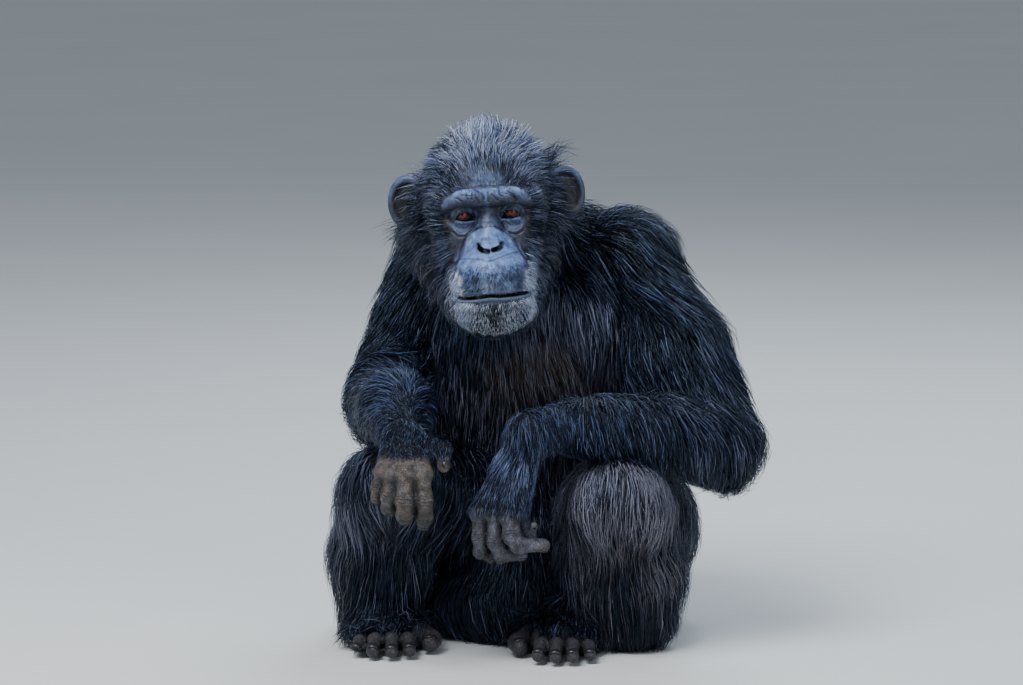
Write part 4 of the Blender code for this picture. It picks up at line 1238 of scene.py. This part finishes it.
def unwrap(points, region):
    """Place on an unwrap of the skin: round and along each part's own long axis."""
    uv = np.zeros((len(points), 2))
    for number, name in enumerate(REGIONS):
        pick = np.flatnonzero(region == number)
        if not len(pick):
            continue
        a, b = (np.array(end, float) for end in LONG_AXES[name])
        run = b - a
        along = (points[pick] - a) @ run / (run @ run)
        spoke = points[pick] - a - along[:, None] * run
        first = unit(np.cross(run, (0.3, 1.0, 0.2))[None])[0]
        second = unit(np.cross(run, first)[None])[0]
        turn = np.arctan2(spoke @ second, spoke @ first) / (2 * np.pi) + 0.5
        column, row = number % 4, number // 4
        uv[pick, 0] = (column + 0.03 + 0.94 * turn) / 4
        uv[pick, 1] = (row + 0.03 + 0.94 * np.clip(along * 0.8 + 0.1, 0, 1)) / 3
    return uv


# Settings, operators and panel

def colour(name, description, default):
    """A colour property, with its default given as hex sRGB."""
    return bpy.props.FloatVectorProperty(
        name=name, description=description, default=linear(default),
        size=4, min=0.0, max=1.0, subtype="COLOR")


class SkinSettings(bpy.types.PropertyGroup):
    face_dark: colour("Face shadow", "Darker skin of the face", "#191b24")
    face_light: colour("Face", "Lighter skin of the face", "#2b3247")
    # Muzzle colours: pale skin with painted blue sheen in them
    muzzle: colour("Muzzle", "Lightest blue-grey of nose and muzzle", "#7591c4")
    muzzle_dark: colour("Muzzle shade", "Darker blue-grey of nose and muzzle", "#4f618c")
    lip: colour("Lip", "Pale edge of the lower lip", "#62728f")
    hand_dark: colour("Hand shadow", "Darker skin of hands and feet", "#1f1f23")
    hand_light: colour("Hand", "Lighter brown-grey skin of the hands", "#7c6b59")
    hand_cool: colour("Cool hand", "Lighter blue-grey skin of the hands", "#5f6678")
    foot: colour("Foot", "Skin of the feet", "#26252e")
    chest: colour("Chest", "Skin seen through the thin hair of the chest", "#5d433c")
    under_coat: colour("Under coat", "Skin below the coat", "#060608")
    iris: colour("Iris", "Light amber of the iris", "#662204")
    iris_dark: colour("Iris rays", "Dark rays of the iris", "#3a1002")
    eye_white: colour("White of eye", "Dark brown white of the eye", "#080404")


class CoatSettings(bpy.types.PropertyGroup):
    black: colour("Black", "Darkest hair", "#040406")
    black_light: colour("Soft black", "Lightest of the black hair", "#0a0e1e")
    # Blue-grey hairs among the black are painted blue sheen: they stand in for the sky's glints on black
    # hair
    painted_blue_sheen: colour("Blue grey", "Blue-grey hair among the black", "#48629a")
    brown: colour("Brown", "Brown hair of cheeks and shanks", "#766a66")
    grey: colour("Grey", "Grey hair between the brown", "#9a9aa6")
    white: colour("White", "White hair of chin and muzzle", "#eaf2ff")
    spacing: bpy.props.FloatProperty(
        name="Tuft spacing", description="Distance between the roots of body tufts",
        default=0.0036, min=0.002, max=0.02, unit="LENGTH")
    seed: bpy.props.IntProperty(name="Seed", description="Seed of the coat's randomness", default=7)


class StageSettings(bpy.types.PropertyGroup):
    floor: bpy.props.FloatProperty(
        name="Floor", description="Half the width of the floor", default=30.0, min=5.0, unit="LENGTH")
    place: bpy.props.FloatVectorProperty(
        name="Camera", description="Place of the camera",
        default=(-0.0414, -6.91388, 1.32907), unit="LENGTH")
    lens: bpy.props.FloatProperty(
        name="Lens", description="Camera focal length", default=205.28, min=10.0, unit="CAMERA")
    look_down: bpy.props.FloatProperty(
        name="Look down", description="How far the camera looks down",
        default=math.radians(8), subtype="ANGLE")
    sky: bpy.props.FloatProperty(
        name="Sky", description="Strength of the soft light from all round", default=0.38, min=0.0)


BUILT = {}


def shared_hair(context):
    """The one hair material of coat and whiskers."""
    if "hair" not in BUILT:
        BUILT["hair"] = hair_material(context.scene.chimp_coat)
    return BUILT["hair"]


def flesh_nodes():
    """The CAD solids that the skin takes the place of."""
    return [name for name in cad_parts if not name.startswith("eye_")]


def skin_arrays():
    """The skin's vertices, triangles and regions, grown once."""
    if "skin" not in BUILT:
        verts, tris = grow_skin()
        BUILT["skin"] = (verts, face_out(verts, tris), body_distance(verts, label=True)[1])
    return BUILT["skin"]


class CHIMP_OT_skin(bpy.types.Operator):
    """Build the one skin that covers head, body, hands and feet"""

    bl_idname = "chimp.skin"
    bl_label = "Skin"

    def execute(self, context):
        verts, tris, region = skin_arrays()
        values = bare_masks(verts, region)
        values["finger"], values["knuckle"], between = finger_lengths(verts, region)
        # Painted shade in the gaps between fingers and toes
        values["painted_shade"] = np.maximum(values["painted_shade"], 0.9 * between * (values["bare"] > 0.5))
        piece = make_mesh("skin", verts, tris, skin_material(context.scene.chimp_skin), values)
        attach(piece, "root")
        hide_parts(*flesh_nodes())
        return {"FINISHED"}


class CHIMP_OT_eyes(bpy.types.Operator):
    """Build the two eyeballs, with pupil and iris towards the camera"""

    bl_idname = "chimp.eyes"
    bl_label = "Eyes"

    def execute(self, context):
        material = eye_material(context.scene.chimp_skin)
        for side, name in ((1, "left"), (-1, "right")):
            centre = from_head([(side * EYE_SIDE, EYE_DEPTH, 0)])[0]
            gaze = unit((GAZE_POINT - centre)[None])[0]
            first = unit(np.cross(gaze, (0, 0, 1))[None])[0]
            second = np.cross(first, gaze)
            rings, segments = 40, 48
            # The cornea bulges by this many millimetres, out to this angle from the pupil
            bulge, spread = 0.7, 0.34
            polar = np.linspace(0, np.pi, rings + 1)[1:-1]
            turn = np.arange(segments) / segments * 2 * np.pi
            verts, ring, ray = [gaze * (EYE_RADIUS + bulge)], [0.0], [0.0]
            for angle in polar:
                radius = EYE_RADIUS + bulge * math.exp(-((angle / spread) ** 4))
                for t in turn:
                    spoke = first * math.cos(t) + second * math.sin(t)
                    verts.append((gaze * math.cos(angle) + spoke * math.sin(angle)) * radius)
                    ring.append(EYE_RADIUS * angle)
                    ray.append(abs(t - np.pi))
            verts.append(-gaze * EYE_RADIUS)
            ring.append(EYE_RADIUS * np.pi)
            ray.append(0.0)
            tris = []
            for s in range(segments):
                e = (s + 1) % segments
                tris.append((0, 1 + s, 1 + e))
                base = 1 + (rings - 2) * segments
                tris.append((base + e, base + s, len(verts) - 1))
                for k in range(rings - 2):
                    a, b = 1 + k * segments, 1 + (k + 1) * segments
                    tris += [(a + s, b + s, b + e), (a + s, b + e, a + e)]
            verts = np.array(verts) + centre
            tris = face_out(verts, np.array(tris))
            piece = make_mesh(f"eyeball_{name}", verts, tris, material, {"from_pupil": ring, "ray": ray})
            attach(piece, "root")
            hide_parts(f"eye_{name}")
        return {"FINISHED"}


def nail_arrays(digit, length):
    """A curved plate on the back of the last joint, with a thickness and a free edge."""
    (before, _), (a, _), (b, radius) = digit[-3:]
    before, a, b = (np.array(point, float) for point in (before, a, b))
    ahead = unit((b - a)[None])[0]
    back = 2 * a - before - b if a[2] > 60 else np.array((0.0, -0.25, 1.0))
    back = unit((back - ahead * (back @ ahead))[None])[0]
    side = np.cross(ahead, back)
    across, rows = np.linspace(-1, 1, 9), np.linspace(0, 1, 6)
    layers = []
    for rise in (0.5, 0.0):
        for s in rows:
            reach = -length * 0.45 + s * length
            for t in across:
                angle = t * math.radians(56) * (0.8 + 0.2 * min(1, 3 * s + 0.3))
                sink = 0.6 * t ** 6 + 1.0 * (1 - s) ** 3
                past = min(0.8 * radius, max(0.0, reach))
                spread = math.sqrt(radius ** 2 - past ** 2) + 0.1 + rise - sink
                trim = -1.4 * t * t * s
                layers.append(b + ahead * (reach + trim)
                              + (back * math.cos(angle) + side * math.sin(angle)) * spread)
    verts = np.array(layers)
    wide, deep, half = len(across), len(rows), len(across) * len(rows)
    tris = []
    for r in range(deep - 1):
        for c in range(wide - 1):
            i = r * wide + c
            tris += [(i, i + 1, i + wide + 1), (i, i + wide + 1, i + wide)]
            j = i + half
            tris += [(j, j + wide + 1, j + 1), (j, j + wide, j + wide + 1)]
    edge = list(range(wide)) + [r * wide + wide - 1 for r in range(1, deep)]
    edge += [(deep - 1) * wide + c for c in range(wide - 2, -1, -1)]
    edge += [r * wide for r in range(deep - 2, 0, -1)]
    for i, j in zip(edge, edge[1:] + edge[:1]):
        tris += [(i, i + half, j + half), (i, j + half, j)]
    return verts, np.array(tris)


class CHIMP_OT_nails(bpy.types.Operator):
    """Build the nails of the fingers and toes as curved plates"""

    bl_idname = "chimp.nails"
    bl_label = "Nails"

    def execute(self, context):
        parts, faces, offset = [], [], 0
        for digits, length in ((LEFT_FINGERS, 9.5), (RIGHT_FINGERS, 9.5), (LEFT_TOES, 9), (RIGHT_TOES, 9)):
            for digit in digits:
                verts, tris = nail_arrays(digit, min(length, 1.15 * digit[-1][1]))
                parts.append(verts)
                faces.append(face_out(verts, tris) + offset)
                offset += len(verts)
        piece = make_mesh("nails", np.concatenate(parts), np.concatenate(faces), nail_material())
        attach(piece, "root")
        return {"FINISHED"}


def whisker_tree(material):
    """Short hairs stood on the surface by its density, direction and length values."""
    tree = bpy.data.node_groups.new("short_face_hairs", "GeometryNodeTree")
    sockets = tree.interface
    sockets.new_socket("Skin patch", in_out="INPUT", socket_type="NodeSocketGeometry")
    width = sockets.new_socket("Hair width", in_out="INPUT", socket_type="NodeSocketFloat")
    seed = sockets.new_socket("Seed", in_out="INPUT", socket_type="NodeSocketInt")
    sockets.new_socket("Hairs", in_out="OUTPUT", socket_type="NodeSocketGeometry")
    patch, wide, number = (node(tree, "NodeGroupInput", output=i) for i in range(3))
    attribute = {name: node(tree, "GeometryNodeInputNamedAttribute", {"data_type": kind}, {"Name": name})
                 for name, kind in (("growth", "FLOAT"), ("lie", "FLOAT_VECTOR"), ("reach", "FLOAT"))}
    points = node(tree, "GeometryNodeDistributePointsOnFaces", None, {
        "Mesh": patch, "Density": attribute["growth"], "Seed": number})
    shade = node(tree, "FunctionNodeRandomValue", None, {"Seed": number}, "Value")
    shade = next(s for s in shade.node.outputs if s.enabled)
    points = node(tree, "GeometryNodeStoreNamedAttribute", {"data_type": "FLOAT", "domain": "POINT"}, {
        "Geometry": points, "Name": "shade", "Value": shade})
    hair = node(tree, "GeometryNodeMeshCone", None, {
        "Vertices": 3, "Side Segments": 2, "Radius Top": 0.02, "Radius Bottom": 0.5, "Depth": 1.0}, "Mesh")
    spot = node(tree, "GeometryNodeInputPosition")
    height = node(tree, "ShaderNodeSeparateXYZ", None, {0: spot}, 2)
    hair = node(tree, "GeometryNodeStoreNamedAttribute", {"data_type": "FLOAT", "domain": "POINT"}, {
        "Geometry": hair, "Name": "along", "Value": height})
    turn = node(tree, "FunctionNodeAlignRotationToVector", {"axis": "Z"}, {"Vector": attribute["lie"]})
    length = node(tree, MATH, TIMES, {0: attribute["reach"], 1: node(tree, MATH, PLUS, {0: shade, 1: 0.5})})
    size = node(tree, "ShaderNodeCombineXYZ", None, {0: wide, 1: wide, 2: length})
    hairs = node(tree, "GeometryNodeInstanceOnPoints", None, {
        "Points": points, "Instance": hair, "Rotation": turn, "Scale": size})
    hairs = node(tree, "GeometryNodeRealizeInstances", None, {"Geometry": hairs})
    hairs = node(tree, "GeometryNodeSetMaterial", None, {"Geometry": hairs, "Material": material})
    node(tree, "NodeGroupOutput", None, {"Hairs": hairs})
    return tree, width.identifier, seed.identifier


# Short hairs and lashes in each square metre where they grow thickest, and how thick a hair is
SHORT_HAIRS, LASHES, HAIR_WIDTH = 0.7e6, 1.2e6, 0.5


class CHIMP_OT_whiskers(bpy.types.Operator):
    """Grow the short hairs of lips, chin, brow and lids over the face"""

    bl_idname = "chimp.whiskers"
    bl_label = "Whiskers and lashes"

    def execute(self, context):
        verts, tris, region = skin_arrays()
        q = to_head(verts)
        x, up = q[:, 0], front_height(q)
        keep = within(region, "head") & (np.abs(x) < 58) & (q[:, 1] < 32) & (up > -112) & (up < 48)
        tris = tris[keep[tris].all(1)]
        used = np.unique(tris)
        index = np.full(len(verts), -1)
        index[used] = np.arange(len(used))
        verts, q, tris, x, up = verts[used], q[used], index[tris], x[used], up[used]
        out = slope(verts)[1]
        ax, y = np.abs(x), q[:, 1]
        gap = line_distance(x, up, MOUTH_LINE)[0]
        mouth = mouth_height(x)
        upper = ramp(-56 - up, 12) * (up > mouth + 1.5) * (ax < 44)
        edge = (up < mouth - 5.5) * (ax < 44)
        brow = ramp(up - 27, 6) * (ax < 52) * (y < 30)
        cheek = (ax > np.interp(up, [-60, -34, -16], [46, 34, 30])) * (up < -16) * (up > -60) * 0.5
        lens = lid_opening(ax - EYE_SIDE + LID_SHIFT, up)
        lash = bell(lens - 1.0, 0.7) * (up > -2) * (y < EYE_DEPTH)
        ragged = 2.5 * waves(q, 3.5, 21)
        sides = ramp(ax + ragged - 30, 11) * ramp(ragged - 56 - up, 12) * (up > mouth + 2)
        growth = 0.5 * upper + 0.75 * sides + 0.7 * edge + 0.3 * brow + 0.2 * cheek
        growth = (growth * SHORT_HAIRS + lash * LASHES) * (gap > 2.4)
        pale = np.where(upper > 0, ramp(mouth + 9 - up, 6) * 0.4, 0.3 * brow)
        pale = np.where(edge > 0, np.where(ax > 20, 0.9, 0.45), pale)
        pale = np.where(sides > 0, np.maximum(np.where(edge > 0, 0.45, pale), sides), pale)
        flow = np.stack([x * 0.012, np.full(len(x), -0.1), np.full(len(x), -1.0)], 1)
        flow = np.where((brow > 0)[:, None], np.stack([x * 0.02, 0.4 + 0 * x, 1 + 0 * x], 1), flow)
        flow = np.where((cheek > 0)[:, None], np.stack([np.sign(x), 0.2 + 0 * x, -0.5 + 0 * x], 1), flow)
        flow = unit(flow @ HEAD_AXES.T)
        flow = unit(flow - out * (flow * out).sum(1, keepdims=True) + 0.32 * out)
        flow = np.where((lash > 0.2)[:, None], unit(out + 0.5 * HEAD_AXES[:, 2]), flow)
        reach = np.where(lash > 0.2, 4.5, np.where(edge > 0, 5.0, np.clip(0.55 * (up - mouth), 1.0, 4.5)))
        patch = make_mesh("whiskers", verts, tris, shared_hair(context), {
            "growth": growth, "reach": reach * MM, "grey": pale, "warm": np.full(len(x), 0.4)})
        layer = patch.data.attributes.new("lie", "FLOAT_VECTOR", "POINT")
        layer.data.foreach_set("vector", flow.astype(np.float32).ravel())
        tree, width, seed = whisker_tree(shared_hair(context))
        grower = patch.modifiers.new("grower", "NODES")
        grower.node_group = tree
        grower[width], grower[seed] = HAIR_WIDTH * MM, context.scene.chimp_coat.seed
        context.view_layer.update()
        mesh = bpy.data.meshes.new_from_object(patch.evaluated_get(context.evaluated_depsgraph_get()))
        patch.modifiers.clear()
        patch.data = mesh
        for name in [a.name for a in mesh.attributes if a.name in ("growth", "reach", "lie")]:
            mesh.attributes.remove(mesh.attributes[name])
        corner = np.empty(len(mesh.loops), np.int32)
        mesh.loops.foreach_get("vertex_index", corner)
        places = np.empty(len(mesh.vertices) * 3, np.float32)
        mesh.vertices.foreach_get("co", places)
        per = len(mesh.vertices) // max(1, hair_count(mesh))
        places = places.reshape(-1, per, 3)[:, 0] / MM
        flat = unwrap(places, np.full(len(places), REGIONS.index("head")))
        local = np.stack([np.arange(per) % 3 / 3, np.arange(per) // 3 / per * 3], 1) * TUFT_UV
        uv = (np.repeat(flat, per, 0) + np.tile(local, (len(places), 1)))[corner]
        for layer in list(mesh.uv_layers):
            mesh.uv_layers.remove(layer)
        mesh.uv_layers.new(name="OFBake").data.foreach_set("uv", uv.astype(np.float32).ravel())
        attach(patch, "root")
        return {"FINISHED"}


def hair_count(mesh):
    """How many equal hairs the mesh holds, from its vertices, edges and faces."""
    return len(mesh.vertices) - len(mesh.edges) + len(mesh.polygons) >> 1


class CHIMP_OT_coat(bpy.types.Operator):
    """Lay the coat over the skin as solid tufts that follow the body"""

    bl_idname = "chimp.coat"
    bl_label = "Coat"

    def execute(self, context):
        settings = context.scene.chimp_coat
        rng = np.random.default_rng(settings.seed)
        verts, tris, region = skin_arrays()
        bare = bare_masks(verts, region)["bare"]
        table = comb_table()
        centre = verts[tris].mean(1)
        face_region = region[tris[:, 0]]
        values = comb(centre, face_region, table)[1]
        length, depth, width, grey, warm, thick = values.T
        cover = 1 - bare[tris].mean(1)
        head = within(face_region, "head")
        q = to_head(centre)
        on_ear = head & (np.abs(q[:, 0]) > 74) & (np.abs(q[:, 2] - 3) < 42)
        cover = np.where(on_ear, np.where((np.abs(q[:, 0]) < 82) & (q[:, 1] < 90), 0.35, 0), cover)
        hidden = centre[:, 2] < 5.0
        weight = cover * thick * ~hidden * (1.5 / width) * (60 / np.maximum(length, 9)) ** 0.62
        roots, pick = sample_roots(verts, tris, weight, settings.spacing / MM, rng)
        region_of = face_region[pick]
        lie, values = comb(roots, region_of, table)
        length, depth, width, grey, warm, thick = values.T
        out = slope(roots)[1]
        count = len(roots)
        length = length * rng.uniform(0.65, 1.15, count)
        up = to_head(roots)[:, 2]
        crown = within(region_of, "head") & (up > -10)
        lift = np.clip(rng.normal(np.where(crown, 0.6, 0.68), np.where(crown, 0.2, 0.26)), 0.12, 1.1)
        lift = np.where(within(region_of, *HANDS_AND_FEET), 0.6 * lift, lift)
        # Pale hairs grow in streaks among the black: grey, brown and white ones, and blue-grey ones that
        # are painted sheen
        chance = grey * (1 + 0.6 * waves(roots * (1, 1, 0.3), 8, 3))
        is_pale = rng.random(count) < chance
        level = np.where(grey > 0.5, 0.42 + 0.34 * np.clip((grey - 0.5) * 2, 0, 1), 0.33)
        # Pale crown hairs grow paler towards the top of the head: painted highlight
        level = np.where(crown, 0.5 + 0.34 * ramp(up - 45, 30), level)
        start = -60 + 5 * rng.normal(0, 1, count)
        white = within(region_of, "head") & (width < 0.62) & (up < start)
        level = np.where(white, rng.uniform(0.45, 1.0, count), level * rng.uniform(0.35, 1.15, count))
        grey = np.where(is_pale, np.clip(level, 0, 1), 0.0)
        shade = rng.random(count) ** 1.5
        long = length > 24
        flat_uv = unwrap(roots, region_of)
        head, trunk = within(region_of, "head"), within(region_of, "trunk")
        low, front = head & (up < 12), roots[:, 1] < 90
        chin = low & (width < 0.62) & (up < -55)
        zones = {"coat_crown": head & ~low, "coat_hands_feet": within(region_of, *HANDS_AND_FEET)}
        for limb in ("arm_left", "arm_right", "leg_left", "leg_right"):
            zones[f"coat_{limb}"] = within(region_of, limb)
        zones.update(coat_front=trunk & front, coat_back=trunk & ~front,
                     coat_cheeks=low & ~chin, coat_chin=chin)
        material = shared_hair(context)
        for name, mine in zones.items():
            parts, offset = [], 0
            for kind, steps in ((long, 3), (~long, 2)):
                use = np.flatnonzero(mine & kind)
                if not len(use):
                    continue
                laid = (values[use] for values in (roots, out, lie, length, depth, lift))
                points = march(*laid, steps, rng)
                pull = 0.18 if name in ("coat_crown", "coat_hands_feet") else 0.5 if steps == 3 else 0.25
                points = gather(points, 9.0 if name == "coat_crown" else 14.0, pull, rng)
                wide = width[use] * rng.uniform(0.7, 1.15, len(use))
                v, t, along, per = tufts_mesh(points, out[use], wide)
                t = face_out(v, t, len(t) // len(use))
                patch = np.repeat(flat_uv[use], per, 0)
                local = np.stack([np.tile((np.arange(per) % 3) / 3, len(use)), along], 1) * TUFT_UV
                parts.append((v, t + offset, along, np.repeat(grey[use], per), np.repeat(shade[use], per),
                              np.repeat(warm[use], per), patch + local))
                offset += len(v)
            v, t, along, g, s, w, uv = (np.concatenate(column) for column in zip(*parts))
            piece = make_mesh(name, v, t, material, {"along": along, "grey": g, "shade": s, "warm": w}, uv)
            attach(piece, "root")
        return {"FINISHED"}


# Name, place, aim, power in watts, width in metres and colour of each light
LIGHTS = (
    ("key_light", (-0.9, -1.5, 2.6), (-0.05, -0.1, 0.4), 110, 1.6, (0.93, 0.96, 1.0)),
    ("fill_light", (1.6, -3.2, 0.9), (0.0, -0.1, 0.35), 44, 2.2, (0.80, 0.89, 1.0)),
    ("rim_light", (0.8, 2.0, 2.6), (0.0, 0.0, 0.4), 70, 1.6, (0.76, 0.87, 1.0)),
)
SKY_COLOUR = (0.74, 0.85, 1.0, 1.0)
SENSOR_WIDTH, VIEW_END = 36.0, 60.0


class CHIMP_OT_stage(bpy.types.Operator):
    """Make the pale floor, the soft lights and the camera"""

    bl_idname = "chimp.stage"
    bl_label = "Stage"

    def execute(self, context):
        settings = context.scene.chimp_stage
        size = settings.floor
        mesh = bpy.data.meshes.new("floor")
        corners = [(-size, -size, 0), (size, -size, 0), (size, size, 0), (-size, size, 0)]
        mesh.from_pydata(corners, [], [(0, 1, 2, 3)])
        mesh.materials.append(floor_material())
        floor = bpy.data.objects.new("floor", mesh)
        context.scene.collection.objects.link(floor)
        for name, place, aim, power, width, tint in LIGHTS:
            light = bpy.data.lights.new(name, "AREA")
            light.energy, light.size, light.color = power, width, tint
            lamp = bpy.data.objects.new(name, light)
            lamp.location = place
            lamp.rotation_euler = (Vector(aim) - Vector(place)).to_track_quat("-Z", "Y").to_euler()
            context.scene.collection.objects.link(lamp)
        world = bpy.data.worlds.new("soft_sky")
        world.use_nodes = True
        sky = world.node_tree.nodes["Background"]
        sky.inputs["Color"].default_value = SKY_COLOUR
        sky.inputs["Strength"].default_value = settings.sky
        context.scene.world = world
        lens = bpy.data.cameras.new("photo_camera")
        lens.lens, lens.sensor_width = settings.lens, SENSOR_WIDTH
        lens.clip_end = VIEW_END
        camera = bpy.data.objects.new("photo_camera", lens)
        camera.location = settings.place
        camera.rotation_euler = (math.radians(90) - settings.look_down, 0, 0)
        context.scene.collection.objects.link(camera)
        context.scene.camera = camera
        return {"FINISHED"}


OPERATORS = (CHIMP_OT_skin, CHIMP_OT_eyes, CHIMP_OT_nails, CHIMP_OT_whiskers, CHIMP_OT_coat, CHIMP_OT_stage)


class CHIMP_PT_panel(bpy.types.Panel):
    """Sidebar panel with the settings and one button for each piece"""

    bl_label = "Seated Chimpanzee"
    bl_idname = "CHIMP_PT_panel"
    bl_space_type = "VIEW_3D"
    bl_region_type = "UI"
    bl_category = "Chimpanzee"

    def draw(self, context):
        for group in (context.scene.chimp_skin, context.scene.chimp_coat, context.scene.chimp_stage):
            box = self.layout.box()
            for name in group.__annotations__:
                box.prop(group, name)
        for operator in OPERATORS:
            self.layout.operator(operator.bl_idname)


CLASSES = (SkinSettings, CoatSettings, StageSettings, *OPERATORS, CHIMP_PT_panel)


def register():
    for cls in CLASSES:
        bpy.utils.register_class(cls)
    bpy.types.Scene.chimp_skin = bpy.props.PointerProperty(type=SkinSettings)
    bpy.types.Scene.chimp_coat = bpy.props.PointerProperty(type=CoatSettings)
    bpy.types.Scene.chimp_stage = bpy.props.PointerProperty(type=StageSettings)


def unregister():
    del bpy.types.Scene.chimp_skin, bpy.types.Scene.chimp_coat, bpy.types.Scene.chimp_stage
    for cls in reversed(CLASSES):
        bpy.utils.unregister_class(cls)


def main():
    register()
    bpy.ops.chimp.skin()
    bpy.ops.chimp.eyes()
    bpy.ops.chimp.nails()
    bpy.ops.chimp.whiskers()
    bpy.ops.chimp.coat()
    bpy.ops.chimp.stage()


if __name__ == "__main__":
    main()
